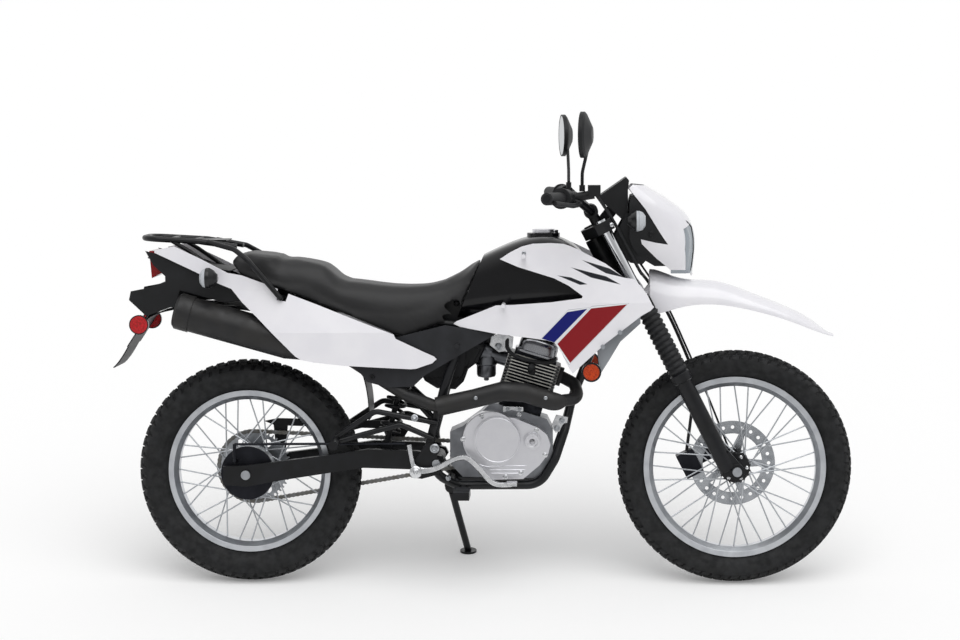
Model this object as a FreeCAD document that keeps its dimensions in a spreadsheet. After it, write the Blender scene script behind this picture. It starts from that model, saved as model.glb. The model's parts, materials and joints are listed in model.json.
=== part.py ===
import FreeCAD, Part
import math
import os
import re

import Sketcher
from FreeCAD import Placement, Rotation, Vector

# A dual sport motorcycle, leaning on its side stand.
# Each piece is drawn with the machine upright: X forward from the rear axle, Y to the rider's left,
# Z up from the ground. One last placement leans the whole machine and moves it to its own origin.

SIZES = {
    "Stance": {
        "wheelbase": 1362,
        "rake_angle": 27,
        "trail": 102,
        "lean_angle": 9,
        "running_gap": 1,
        "shaft_clearance": 0.05,
        "seam_gap": 0.4,
        "cut_overrun": 5,
        "panel_wall": 3,
    },
    "Front wheel": {
        "front_tyre_radius": 327,
        "front_tyre_width": 92,
        "front_bead_radius": 243,
        "front_flange_radius": 254,
        "front_rim_width": 56,
        "front_rim_inner_radius": 227,
        "front_hub_width": 68,
        "front_hub_flange_radius": 42,
        "front_hub_barrel_radius": 26,
        "front_axle_radius": 7.5,
        "tyre_wall": 9,
        "rim_wall": 4,
        "spoke_radius": 2,
        "spoke_count": 36,
        "spoke_lacing_angle": 48,
        "disc_radius": 120,
        "disc_inner_radius": 84,
        "disc_carrier_radius": 45,
        "disc_thickness": 4,
        "disc_side": 59,
        "disc_hole_radius": 5,
        "disc_hole_count": 24,
    },
    "Rear wheel": {
        "rear_tyre_radius": 315,
        "rear_tyre_width": 108,
        "rear_bead_radius": 218,
        "rear_flange_radius": 229,
        "rear_rim_width": 66,
        "rear_rim_inner_radius": 202,
        "rear_hub_width": 76,
        "rear_hub_flange_radius": 56,
        "rear_drum_radius": 75,
        "rear_drum_depth": 42,
        "rear_drum_wall": 9,
        "rear_axle_radius": 8,
        "sprocket_teeth": 50,
        "front_sprocket_teeth": 17,
        "chain_pitch": 12.7,
        "chain_plate_height": 11.8,
        "chain_width": 13,
        "chain_side": 67,
        "sprocket_thickness": 6,
        "chain_slot_width": 7.6,
        "front_sprocket_x": 598,
        "front_sprocket_height": 352,
    },
    "Steering": {
        "steering_fork_offset": 39,
        "steering_lock_angle": 43,
        "lock_clearance": 6,
        "fork_half_spacing": 95,
        "fork_tube_radius": 15.5,
        "fork_leg_radius": 23.5,
        "fork_leg_collar_radius": 28,
        "fork_leg_collar_length": 26,
        "fork_leg_top": 316,
        "gaiter_length": 190,
        "gaiter_rib_count": 12,
        "gaiter_outer_radius": 28,
        "gaiter_valley_radius": 23,
        "lower_yoke_height": 36,
        "upper_yoke_bottom": 752,
        "upper_yoke_height": 30,
        "yoke_clamp_radius": 25,
        "stem_radius": 13,
        "head_tube_radius": 27,
        "axle_lug_radius": 21,
        "axle_lug_width": 38,
        "fork_top_reach": 6,
        "axle_nut_radius": 13,
        "axle_nut_width": 9,
    },
    "Handlebar": {
        "bar_radius": 11.1,
        "bar_half_width": 400,
        "bar_clamp_x": 961,
        "bar_clamp_height": 1043,
        "bar_clamp_half_width": 64,
        "bar_bend_x": 916,
        "bar_bend_height": 1084,
        "bar_bend_y": 178,
        "bar_end_x": 842,
        "bar_end_height": 1087,
        "bar_bend_radius": 60,
        "riser_radius": 15,
        "riser_side": 38,
        "grip_length": 120,
        "grip_radius": 16.5,
        "grip_flange_radius": 28,
        "grip_flange_width": 6,
        "pod_length": 44,
        "pod_radius": 24,
        "perch_length": 34,
        "perch_radius": 17,
        "reservoir_length": 44,
        "reservoir_width": 34,
        "reservoir_height": 30,
        "lever_reach": 170,
        "lever_width": 14,
        "lever_thickness": 9,
        "mirror_radius": 61,
        "mirror_depth": 31,
        "mirror_stem_radius": 4.5,
        "mirror_side": 330,
        "mirror_height": 1254,
        "mirror_left_setback": 53,
    },
    "Head": {
        "cowl_rear_x": 1064,
        "cowl_length": 190,
        "cowl_low": 862,
        "cowl_height": 256,
        "cowl_half_width": 108,
        "binnacle_x": 978,
        "binnacle_low": 1046,
        "binnacle_length": 98,
        "binnacle_height": 94,
        "binnacle_half_width": 70,
        "indicator_radius": 28,
        "indicator_length": 48,
        "indicator_lens_length": 18,
        "front_indicator_x": 1060,
        "front_indicator_height": 1020,
        "front_indicator_side": 150,
        "rear_indicator_x": -62,
        "rear_indicator_height": 868,
        "rear_indicator_side": 162,
        "indicator_stalk_radius": 8,
        "reflector_radius": 27,
        "reflector_depth": 10,
        "front_reflector_x": 961,
        "front_reflector_height": 607,
        "front_reflector_side": 143.3,
        "rear_reflector_x": -293,
        "rear_reflector_height": 735,
        "rear_reflector_side": 94.3,
    },
    "Front fender": {
        "fender_rear_x": 1124,
        "fender_length": 510,
        "fender_tip_height": 697,
        "fender_rise": 178,
        "fender_half_width": 66,
    },
    "Tank and seat": {
        "tank_rear_x": 592,
        "tank_length": 398,
        "tank_low": 762,
        "tank_height": 208,
        "tank_half_width": 132,
        "tank_tunnel_half_width": 46,
        "filler_x": 829,
        "filler_ring_radius": 46,
        "filler_ring_height": 13,
        "filler_bore_radius": 26,
        "filler_depth": 70,
        "cap_radius": 31,
        "cap_thickness": 9,
        "cap_plug_radius": 22,
        "cap_plug_depth": 6,
        "cap_hinge_radius": 3,
        "cap_hinge_width": 22,
        "seat_rear_x": -52,
        "seat_length": 708,
        "seat_low": 702,
        "seat_height": 245,
        "seat_half_width": 122,
        "seat_skirt_wall": 16,
        "shroud_rear_x": 582,
        "shroud_length": 548,
        "shroud_low": 605,
        "shroud_height": 355,
        "shroud_half_width": 210,
        "guide_low": 600,
        "guide_height": 165,
        "guide_x": 975,
        "guide_length": 120,
        "guide_side": 140,
        "tail_rear_x": -250,
        "tail_length": 787,
        "tail_low": 616,
        "tail_height": 337,
        "tail_half_width": 166,
        "side_panel_rear_x": 295,
        "side_panel_length": 405,
        "side_panel_low": 563,
        "side_panel_height": 172,
        "side_panel_half_width": 138,
    },
    "Frame": {
        "frame_tube_radius": 12.5,
        "backbone_radius": 21,
        "rail_radius": 11,
        "cradle_side": 76,
        "pivot_tube_side": 116,
        "rail_side": 84,
        "tube_bend_radius": 60,
        "pivot_x": 533,
        "pivot_height": 352,
        "pivot_radius": 16,
        "pivot_bolt_radius": 11,
        "arm_inner_side": 81,
        "arm_width": 20,
        "arm_brace_x": 350,
        "arm_brace_length": 42,
        "arm_brace_height": 352,
        "arm_brace_rise": 34,
        "head_tube_low": 556,
        "head_tube_high": 748,
        "shock_low_x": 384,
        "shock_low_height": 385.3,
        "shock_high_x": 455.5,
        "shock_high_height": 673.9,
        "shock_spring_radius": 31,
        "shock_wire_radius": 5,
        "shock_turns": 8,
        "shock_rod_radius": 8,
        "shock_body_radius": 20,
    },
    "Engine": {
        "case_rear_x": 562,
        "case_length": 292,
        "case_low": 292,
        "case_height": 198,
        "case_right_side": 75,
        "case_left_side": 50,
        "cylinder_tilt": 17,
        "cylinder_foot_x": 762,
        "cylinder_foot_height": 491,
        "barrel_half_length": 60,
        "barrel_half_width": 50,
        "fin_half_length": 75,
        "fin_half_width": 64,
        "fin_thickness": 2.6,
        "fin_pitch": 8.8,
        "fin_count": 14,
        "fin_start": 32,
        "head_top": 158,
        "head_cover_height": 54,
        "head_cover_half_length": 62,
        "head_cover_half_width": 54,
        "head_cover_round": 12,
        "clutch_x": 700,
        "clutch_height": 415,
        "clutch_radius": 64,
        "clutch_ring_radius": 78,
        "clutch_ring_shift": 17,
        "crank_cap_x": 798,
        "crank_cap_height": 410,
        "crank_cap_radius": 24,
        "cover_thickness": 38,
        "clutch_rise": 20,
        "generator_radius": 76,
        "generator_thickness": 46,
        "sprocket_cover_thickness": 8,
        "sprocket_cover_radius": 58,
        "carburettor_level": 121,
        "carburettor_radius": 24,
        "carburettor_length": 128,
        "airbox_rear_x": 494,
        "airbox_length": 118,
        "airbox_low": 586,
        "airbox_height": 132,
        "airbox_half_width": 66,
    },
    "Exhaust": {
        "header_radius": 17,
        "header_flange_radius": 27,
        "header_bend_radius": 46,
        "shield_radius": 27,
        "shield_wall": 1.6,
        "muffler_radius": 51,
        "muffler_rear_x": -188,
        "muffler_rear_height": 776,
        "muffler_length": 452,
        "muffler_side": 106,
        "muffler_droop": 15.7,
        "muffler_cap_length": 46,
        "muffler_tip_radius": 15,
        "muffler_tip_depth": 40,
    },
    "Rear end": {
        "rack_rear_x": -292,
        "rack_length": 262,
        "rack_half_width": 78,
        "rack_height": 982,
        "rack_drop": 18,
        "rack_tube_radius": 8,
        "rack_plate_thickness": 3,
        "rack_foot_x": 110,
        "rack_foot_height": 811,
        "lamp_x": -262,
        "lamp_length": 62,
        "lamp_low": 862,
        "lamp_height": 76,
        "lamp_half_width": 62,
        "mudguard_half_width": 74,
        "mudguard_wall": 3,
        "plate_holder_half_width": 94,
    },
    "Controls and stand": {
        "peg_x": 606,
        "peg_height": 276,
        "peg_length": 96,
        "peg_width": 44,
        "peg_thickness": 22,
        "peg_inner_side": 138,
        "passenger_peg_x": 256,
        "passenger_peg_height": 412,
        "passenger_peg_length": 82,
        "passenger_peg_radius": 13,
        "passenger_stay_side": 130,
        "pedal_bar_radius": 8,
        "pedal_side": 150,
        "rod_radius": 3.5,
        "rod_side": 108,
        "brake_panel_thickness": 7,
        "shift_side": 128,
        "shift_bar_radius": 6,
        "stand_pivot_x": 560,
        "stand_pivot_height": 250,
        "stand_pivot_side": 104,
        "stand_foot_x": 604,
        "stand_foot_side": 236,
        "stand_tube_radius": 10,
        "stand_foot_radius": 24,
        "stand_foot_thickness": 6,
        "stand_pin_radius": 6,
        "stand_knuckle_radius": 15,
        "stand_knuckle_width": 14,
        "stand_ear_thickness": 5,
        "caliper_length": 72,
        "caliper_depth": 52,
        "caliper_height": 54,
        "caliper_inner_side": 42,
        "caliper_bridge": 14,
        "hose_radius": 4.5,
        "cable_radius": 3,
        "hose_bend_radius": 30,
    },
}

doc = FreeCAD.newDocument("motorcycle")
sizes = doc.addObject("Spreadsheet::Sheet", "Sizes")


def fill_sheet():
    """Write every size, with its alias, into the sheet."""
    row = 1
    for group, values in SIZES.items():
        sizes.set(f"A{row}", group)
        row += 1
        for alias, value in values.items():
            sizes.set(f"A{row}", alias.replace("_", " "))
            sizes.set(f"B{row}", str(value))
            sizes.setAlias(f"B{row}", alias)
            row += 1
    doc.recompute()


fill_sheet()


def bound(formula):
    """Turn a formula of size names into an expression that reads the sheet."""
    return re.sub(r"\b([a-z][a-z0-9_]*)\b(?!\()", r"Sizes.\1", formula)


def measure(formula):
    """The value that a formula of size names has now."""
    value = sizes.evalExpression(bound(formula))
    return getattr(value, "Value", value)


def body(name):
    return doc.addObject("PartDesign::Body", name)


def bind(thing, path, formula):
    thing.setExpression(path, bound(formula))


def empty_sketch(piece, plane, offset="0"):
    """A sketch on one of the body's own origin planes, moved along that plane's normal."""
    sketch = piece.newObject("Sketcher::SketchObject", piece.Name + "_sketch")
    origin_plane = next(part for part in piece.Origin.OriginFeatures if part.Role == plane)
    sketch.AttachmentSupport = [(origin_plane, "")]
    sketch.MapMode = "FlatFace"
    if offset != "0":
        bind(sketch, "AttachmentOffset.Base.z", offset)
    return sketch


def pin_point(sketch, geometry, point, axis, formula):
    """Hold one coordinate of a sketch point at the value of a formula."""
    if formula == "0":
        line = -2 if axis == "X" else -1
        sketch.addConstraint(Sketcher.Constraint("PointOnObject", geometry, point, line))
        return
    kind = "Distance" + axis
    index = sketch.addConstraint(
        Sketcher.Constraint(kind, -1, 1, geometry, point, measure(formula)))
    label = f"{axis.lower()}{geometry}_{point}"
    sketch.renameConstraint(index, label)
    bind(sketch, "Constraints." + label, formula)


def arc_through(start, end, radius):
    """An arc from start to end. A positive radius turns left, a negative one turns right."""
    chord = end - start
    middle = (start + end) / 2
    half = chord.Length / 2
    rise = math.sqrt(max(radius * radius - half * half, 0))
    left = Vector(-chord.y, chord.x, 0).normalize()
    centre = middle + left * math.copysign(rise, radius)
    bulge = centre - left * math.copysign(abs(radius), radius)
    return Part.Arc(start, bulge, end) if radius > 0 else Part.Arc(end, bulge, start)


def outline(piece, plane, corners, offset="0"):
    """A closed sketch. A corner is (x, y), or (x, y, radius) where an arc leaves it."""
    sketch = empty_sketch(piece, plane, offset)
    places = [Vector(measure(corner[0]), measure(corner[1]), 0) for corner in corners]
    count = len(corners)
    for number, corner in enumerate(corners):
        start, end = places[number], places[(number + 1) % count]
        if len(corner) == 3:
            sketch.addGeometry(arc_through(start, end, measure(corner[2])), False)
        else:
            sketch.addGeometry(Part.LineSegment(start, end), False)
    for number, corner in enumerate(corners):
        following = (number + 1) % count
        sketch.addConstraint(Sketcher.Constraint(
            "Coincident", number, end_point(sketch, number, places[following]),
            following, end_point(sketch, following, places[following])))
    for number, corner in enumerate(corners):
        point = end_point(sketch, number, places[number])
        pin_point(sketch, number, point, "X", corner[0])
        pin_point(sketch, number, point, "Y", corner[1])
        if len(corner) == 3:
            index = sketch.addConstraint(
                Sketcher.Constraint("Radius", number, abs(measure(corner[2]))))
            sketch.renameConstraint(index, f"radius{number}")
            bind(sketch, f"Constraints.radius{number}", f"abs({corner[2]})")
    return sketch


def end_point(sketch, geometry, place):
    """Which end of a sketch line or arc lies at a place: 1 for its start, 2 for its end."""
    curve = sketch.Geometry[geometry]
    return 1 if curve.StartPoint.distanceToPoint(place) < curve.EndPoint.distanceToPoint(place) else 2


def circles(piece, plane, rounds, offset="0"):
    """A sketch of circles, each given as (x, y, radius)."""
    sketch = empty_sketch(piece, plane, offset)
    for number, (x, y, radius) in enumerate(rounds):
        centre = Vector(measure(x), measure(y), 0)
        sketch.addGeometry(Part.Circle(centre, Vector(0, 0, 1), measure(radius)), False)
        pin_point(sketch, number, 3, "X", x)
        pin_point(sketch, number, 3, "Y", y)
        index = sketch.addConstraint(Sketcher.Constraint("Radius", number, measure(radius)))
        sketch.renameConstraint(index, f"radius{number}")
        bind(sketch, f"Constraints.radius{number}", radius)
    return sketch


def pad(piece, sketch, length, symmetric=False, reverse=False):
    feature = piece.newObject("PartDesign::Pad", piece.Name + "_pad")
    feature.Profile = sketch
    feature.SideType = "Symmetric" if symmetric else "One side"
    feature.Reversed = reverse
    bind(feature, "Length", length)
    return feature


def pocket(piece, sketch, length, symmetric=False, reverse=False):
    feature = piece.newObject("PartDesign::Pocket", piece.Name + "_pocket")
    feature.Profile = sketch
    feature.SideType = "Symmetric" if symmetric else "One side"
    feature.Reversed = reverse
    bind(feature, "Length", length)
    return feature


def revolution(piece, sketch, axis="H_Axis"):
    feature = piece.newObject("PartDesign::Revolution", piece.Name + "_revolution")
    feature.Profile = sketch
    feature.ReferenceAxis = (sketch, [axis])
    feature.Angle = 360
    return feature


def polar_pattern(piece, feature, sketch, axis, count):
    pattern = piece.newObject("PartDesign::PolarPattern", piece.Name + "_polar")
    pattern.Originals = [feature]
    pattern.Axis = (sketch, [axis])
    pattern.Angle = 360
    bind(pattern, "Occurrences", count)
    piece.Tip = pattern
    return pattern


def place(x=0.0, y=0.0, z=0.0, axis=Vector(0, 0, 1), angle=0.0):
    return Placement(Vector(x, y, z), Rotation(axis, angle))


def feature(name, shape):
    """A document object that holds a shape made with Part's own functions."""
    piece = doc.addObject("Part::Feature", name)
    piece.Shape = shape
    return piece


def mirrored(shape):
    """The same piece on the other side of the machine."""
    return shape.mirror(Vector(0, 0, 0), Vector(0, 1, 0))


def polygon(points):
    return Part.makePolygon(list(points) + [points[0]])


def rounded_path(points, bend_radius):
    """Straight runs joined by tangent arcs. An arc shrinks where its runs leave no room for it."""
    runs = len(points) - 1
    edges = []
    start = points[0]
    for number in range(1, runs):
        before, corner, after = points[number - 1], points[number], points[number + 1]
        back = (before - corner).normalize()
        ahead = (after - corner).normalize()
        half_turn = (math.pi - back.getAngle(ahead)) / 2
        if half_turn < math.radians(SMALLEST_TURN_SHARE * 180):
            edges.append(Part.LineSegment(start, corner).toShape())
            start = corner
            continue
        room = ARC_SHARE * min((before - corner).Length, (after - corner).Length)
        radius = min(bend_radius, room / math.tan(half_turn))
        cut = radius * math.tan(half_turn)
        enter, leave = corner + back * cut, corner + ahead * cut
        bisector = (back + ahead).normalize()
        middle = corner + bisector * (radius / math.cos(half_turn) - radius)
        edges.append(Part.LineSegment(start, enter).toShape())
        edges.append(Part.Arc(enter, middle, leave).toShape())
        start = leave
    edges.append(Part.LineSegment(start, points[-1]).toShape())
    return Part.Wire(edges)


# How much of the shorter run an arc may use, and the least turn that gets an arc.
ARC_SHARE = 0.45
SMALLEST_TURN_SHARE = 0.005


def tube(points, radius, bend_radius):
    """A round bar along a path of runs and arcs."""
    path = rounded_path(points, bend_radius)
    direction = points[1] - points[0]
    section = Part.Wire(Part.Circle(points[0], direction, radius).toShape())
    return path.makePipeShell([section], True, False)


def cylinder_between(start, end, radius):
    return Part.makeCylinder(radius, (end - start).Length, start, end - start)


def side_points(shares, x, low, length, height, y=0.0):
    """Points of a side outline, from shares of its length and height."""
    return [Vector(x + along * length, y, low + up * height) for along, up in shares]


def side_face(shares, x, low, length, height, y=0.0):
    return Part.Face(polygon(side_points(shares, x, low, length, height, y)))


def slab(shares, x, low, length, height, y_from, y_to):
    """A side outline made solid between two distances from the middle plane."""
    face = side_face(shares, x, low, length, height, y_from)
    return face.extrude(Vector(0, y_to - y_from, 0))


def curved_band(levels, wall):
    """A standing wall between plan curves. A level is (height, [(x, y), ...]) from the bottom up."""
    sections = []
    for height, plan in levels:
        outer = [Vector(x, y, height) for x, y in plan]
        inner = [Vector(x, y + wall, height) for x, y in reversed(plan)]
        outer_curve = Part.BSplineCurve()
        outer_curve.interpolate(outer)
        inner_curve = Part.BSplineCurve()
        inner_curve.interpolate(inner)
        sections.append(Part.Wire([
            outer_curve.toShape(),
            Part.LineSegment(outer[-1], inner[0]).toShape(),
            inner_curve.toShape(),
            Part.LineSegment(inner[-1], outer[0]).toShape()]))
    return Part.makeLoft(sections, True, True)


def spline_edge(points):
    curve = Part.BSplineCurve()
    curve.interpolate(points)
    return curve.toShape()


# How far the front axle stands ahead of the steering axis.
AXLE_REACH = "(front_tyre_radius * sin(rake_angle) - trail * cos(rake_angle))"

# Steering frame: its origin is where the line from the front axle meets the steering axis squarely.
rake = math.radians(sizes.rake_angle)
axle_offset = measure(AXLE_REACH)
steering_origin = Vector(
    sizes.wheelbase - axle_offset * math.cos(rake), 0,
    sizes.front_tyre_radius - axle_offset * math.sin(rake))
steering = Placement(steering_origin, Rotation(Vector(0, 1, 0), -sizes.rake_angle))
front_axle = place(sizes.wheelbase, 0, sizes.front_tyre_radius)
rear_axle = place(0, 0, sizes.rear_tyre_radius)

# Finished nodes: label, document object and where it stands with the machine upright.
nodes = []


def node(name, piece, where=Placement()):
    piece.Label = name
    nodes.append((name, piece, where))
    return piece


def standing(name):
    """A finished node's shape, where it stands on the upright machine."""
    piece, where = next((piece, where) for label, piece, where in nodes if label == name)
    shape = piece.Shape.copy()
    shape.Placement = where
    return shape


def between(bar, *walls):
    """The largest piece that is left of a bar once the walls it runs through are taken away."""
    for wall in walls:
        bar = bar.cut(wall)
    return max(bar.Solids, key=lambda solid: solid.Volume)


def tyre(name, end):
    """A hollow tyre: a crown arc, two side walls and beads that sit inside the rim's flanges."""
    piece = body(name)
    radius, width = f"{end}_tyre_radius", f"{end}_tyre_width"
    flange, rim = f"{end}_flange_radius", f"{end}_rim_width"
    bead_half = f"({rim} * 0.5 - rim_wall - seam_gap)"
    bead = f"({end}_bead_radius + seam_gap)"
    shoulder_half, shoulder = f"({width} * 0.46)", f"({radius} - {width} * 0.25)"
    crown, side = f"({width} * 0.55)", f"({width} * 0.62)"
    outer = [
        (f"-{bead_half}", bead), (f"-{bead_half}", f"{flange} + running_gap", f"-{side}"),
        (f"-{shoulder_half}", shoulder, f"-{crown}"), (shoulder_half, shoulder, f"-{side}"),
        (bead_half, f"{flange} + running_gap"), (bead_half, bead)]
    inner = [
        (f"{bead_half} - tyre_wall", bead),
        (f"{bead_half} - tyre_wall", f"{flange} + running_gap", f"{side} - tyre_wall"),
        (f"{shoulder_half} - tyre_wall", f"{shoulder} - tyre_wall * 0.5", f"{crown} - tyre_wall"),
        (f"-{shoulder_half} + tyre_wall", f"{shoulder} - tyre_wall * 0.5", f"{side} - tyre_wall"),
        (f"-{bead_half} + tyre_wall", f"{flange} + running_gap"),
        (f"-{bead_half} + tyre_wall", bead)]
    revolution(piece, outline(piece, "YZ_Plane", outer + inner))
    return piece


def rim(name, end):
    """A spoked wheel's rim: two flanges, bead seats and a well."""
    piece = body(name)
    half = f"({end}_rim_width * 0.5)"
    flange, bead = f"{end}_flange_radius", f"{end}_bead_radius"
    inner = f"{end}_rim_inner_radius"
    profile = [
        (f"-{half}", flange), (f"-{half}", f"{bead} - rim_wall"),
        (f"-{half} * 0.5", inner), (f"{half} * 0.5", inner),
        (half, f"{bead} - rim_wall"), (half, flange),
        (f"{half} - rim_wall", flange), (f"{half} - rim_wall", bead),
        (f"{half} * 0.55", bead), (f"{half} * 0.35", f"{inner} + rim_wall"),
        (f"-{half} * 0.35", f"{inner} + rim_wall"), (f"-{half} * 0.55", bead),
        (f"-{half} + rim_wall", bead), (f"-{half} + rim_wall", flange)]
    revolution(piece, outline(piece, "YZ_Plane", profile))
    return piece


def front_hub_body():
    piece = body("front_hub_core")
    half, barrel = "(front_hub_width * 0.5)", "front_hub_barrel_radius"
    flange, bore = "front_hub_flange_radius", "(front_axle_radius + shaft_clearance)"
    profile = [
        (f"-{half} - rim_wall * 3", bore), (f"-{half} - rim_wall * 3", f"{barrel} * 0.8"),
        (f"-{half}", f"{barrel} * 0.8"), (f"-{half}", flange), (f"-{half} + rim_wall", flange),
        (f"-{half} + rim_wall * 2", barrel), (f"{half} - rim_wall * 2", barrel),
        (f"{half} - rim_wall", flange), (half, flange), (half, "disc_carrier_radius * 0.8"),
        ("disc_side - disc_thickness * 0.5", "disc_carrier_radius * 0.8"),
        ("disc_side - disc_thickness * 0.5", f"{barrel} * 0.8"),
        ("disc_side + disc_thickness", f"{barrel} * 0.8"), ("disc_side + disc_thickness", bore)]
    revolution(piece, outline(piece, "YZ_Plane", profile))
    return piece


def rear_hub_body():
    """The rear hub: an open brake drum on the right and the sprocket's seat on the left."""
    piece = body("rear_hub_core")
    half, drum = "(rear_hub_width * 0.5)", "rear_drum_radius"
    flange, bore = "rear_hub_flange_radius", "(rear_axle_radius + shaft_clearance)"
    face = "(rear_hub_width * 0.5 + rear_drum_wall * 2)"
    seat = "(chain_side - sprocket_thickness * 0.5)"
    profile = [
        (f"-{face} + rear_drum_depth", bore),
        (f"-{face} + rear_drum_depth", f"{drum} - rear_drum_wall"),
        (f"-{face}", f"{drum} - rear_drum_wall"), (f"-{face}", drum),
        (f"-{face} + rear_drum_depth", drum),
        (f"-{face} + rear_drum_depth + rear_drum_wall", f"{flange} * 0.7"),
        (f"{half} - rear_drum_wall", f"{flange} * 0.7"), (f"{half} - rear_drum_wall * 0.5", flange),
        (half, flange), (half, f"{flange} * 0.75"), (seat, f"{flange} * 0.75"),
        (seat, f"{flange} * 0.45"), ("chain_side + sprocket_thickness", f"{flange} * 0.45"),
        ("chain_side + sprocket_thickness", bore)]
    revolution(piece, outline(piece, "YZ_Plane", profile))
    return piece


def spoked(name, core, hub_radii, hub_sides, rim_radius):
    """A hub with its laced spokes, which lean both ways and stop at the rim."""
    spokes = []
    step = 360.0 / sizes.spoke_count
    for number in range(sizes.spoke_count):
        side = number % 2
        leaning = 1 if (number // 2) % 2 else -1
        rim_angle = math.radians(number * step)
        hub_angle = rim_angle + leaning * math.radians(sizes.spoke_lacing_angle)
        hub_side = hub_sides[side] + leaning * sizes.spoke_radius * SPOKE_STAGGER_SHARE
        rim_side = math.copysign(sizes.spoke_radius * 2, hub_sides[side])
        start = Vector(hub_radii[side] * math.cos(hub_angle), hub_side,
                       hub_radii[side] * math.sin(hub_angle))
        end = Vector(rim_radius * math.cos(rim_angle), rim_side, rim_radius * math.sin(rim_angle))
        spokes.append(cylinder_between(start, end, sizes.spoke_radius))
    return feature(name, core.Shape.multiFuse(spokes))


# Neighbouring spokes leave the flange this many spoke radii to either side of its middle.
SPOKE_STAGGER_SHARE = 1.4


def brake_disc():
    """The front disc: a drilled band on a five-armed carrier."""
    piece = body("brake_disc")
    edge = "disc_side + disc_thickness * 0.5"
    ring = circles(piece, "XZ_Plane", [("0", "0", "disc_radius"), ("0", "0", "disc_inner_radius")],
                   f"-({edge})")
    pad(piece, ring, "disc_thickness", reverse=False)
    carrier = circles(piece, "XZ_Plane", [("0", "0", "disc_carrier_radius"),
                                          ("0", "0", "front_hub_barrel_radius * 0.8 + seam_gap")],
                      f"-({edge})")
    pad(piece, carrier, "disc_thickness")
    arm = outline(piece, "XZ_Plane", [
        ("disc_carrier_radius - disc_thickness", "-disc_thickness * 3"),
        ("disc_inner_radius + disc_thickness", "-disc_thickness * 2"),
        ("disc_inner_radius + disc_thickness", "disc_thickness * 2"),
        ("disc_carrier_radius - disc_thickness", "disc_thickness * 3")], f"-({edge})")
    arms = pad(piece, arm, "disc_thickness")
    doc.recompute()
    pattern = polar_pattern(piece, arms, arm, "N_Axis", "5")
    doc.recompute()
    hole = circles(piece, "XZ_Plane", [
        ("(disc_radius + disc_inner_radius) * 0.5", "0", "disc_hole_radius")], f"-({edge})")
    drilled = pocket(piece, hole, "disc_thickness * 3", symmetric=True)
    doc.recompute()
    polar_pattern(piece, drilled, hole, "N_Axis", "disc_hole_count")
    return piece


def pitch_radius(teeth):
    """The radius of the circle on which the chain's pins lie."""
    return sizes.chain_pitch / (2 * math.sin(math.pi / teeth))


def root_radius(teeth):
    """The radius of a sprocket's body between its teeth."""
    return pitch_radius(teeth) - sizes.chain_pitch * ROOT_SHARE


def toothed_wheel(teeth, thickness, bore, plane_y):
    """A chain sprocket: flat-sided teeth about the pitch circle, and a plain bore."""
    root = root_radius(teeth)
    tip = pitch_radius(teeth) + sizes.chain_pitch * TIP_SHARE
    points = []
    for number in range(teeth):
        for radius, turn in ((root, -ROOT_HALF_SHARE), (tip, -TIP_HALF_SHARE),
                             (tip, TIP_HALF_SHARE), (root, ROOT_HALF_SHARE)):
            angle = 2 * math.pi * (number + turn) / teeth
            points.append(Vector(radius * math.cos(angle), plane_y, radius * math.sin(angle)))
    disc = Part.Face(polygon(points)).extrude(Vector(0, thickness, 0))
    hole = Part.makeCylinder(bore, thickness + 2 * sizes.cut_overrun,
                             Vector(0, plane_y - sizes.cut_overrun, 0), Vector(0, 1, 0))
    return disc.cut(hole)


# A tooth's root and tip, as shares of the chain pitch, and its half widths as shares of one tooth.
ROOT_SHARE = 0.33
TIP_SHARE = 0.3
ROOT_HALF_SHARE = 0.27
TIP_HALF_SHARE = 0.11


def rear_sprocket():
    """The rear sprocket, with lightening holes."""
    thickness = sizes.sprocket_thickness
    low = sizes.chain_side - thickness / 2
    root = root_radius(sizes.sprocket_teeth)
    wheel = toothed_wheel(sizes.sprocket_teeth, thickness,
                          sizes.rear_hub_flange_radius * 0.45 + sizes.seam_gap, low)
    holes = []
    for number in range(SPROCKET_HOLE_COUNT):
        angle = 2 * math.pi * number / SPROCKET_HOLE_COUNT
        middle = (root + sizes.rear_hub_flange_radius) / 2
        holes.append(Part.makeCylinder(
            root * SPROCKET_HOLE_SHARE, thickness + 2 * sizes.cut_overrun,
            Vector(middle * math.cos(angle), low - sizes.cut_overrun, middle * math.sin(angle)),
            Vector(0, 1, 0)))
    return feature("rear_sprocket", wheel.cut(Part.makeCompound(holes)))


SPROCKET_HOLE_COUNT = 6
SPROCKET_HOLE_SHARE = 0.12


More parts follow.
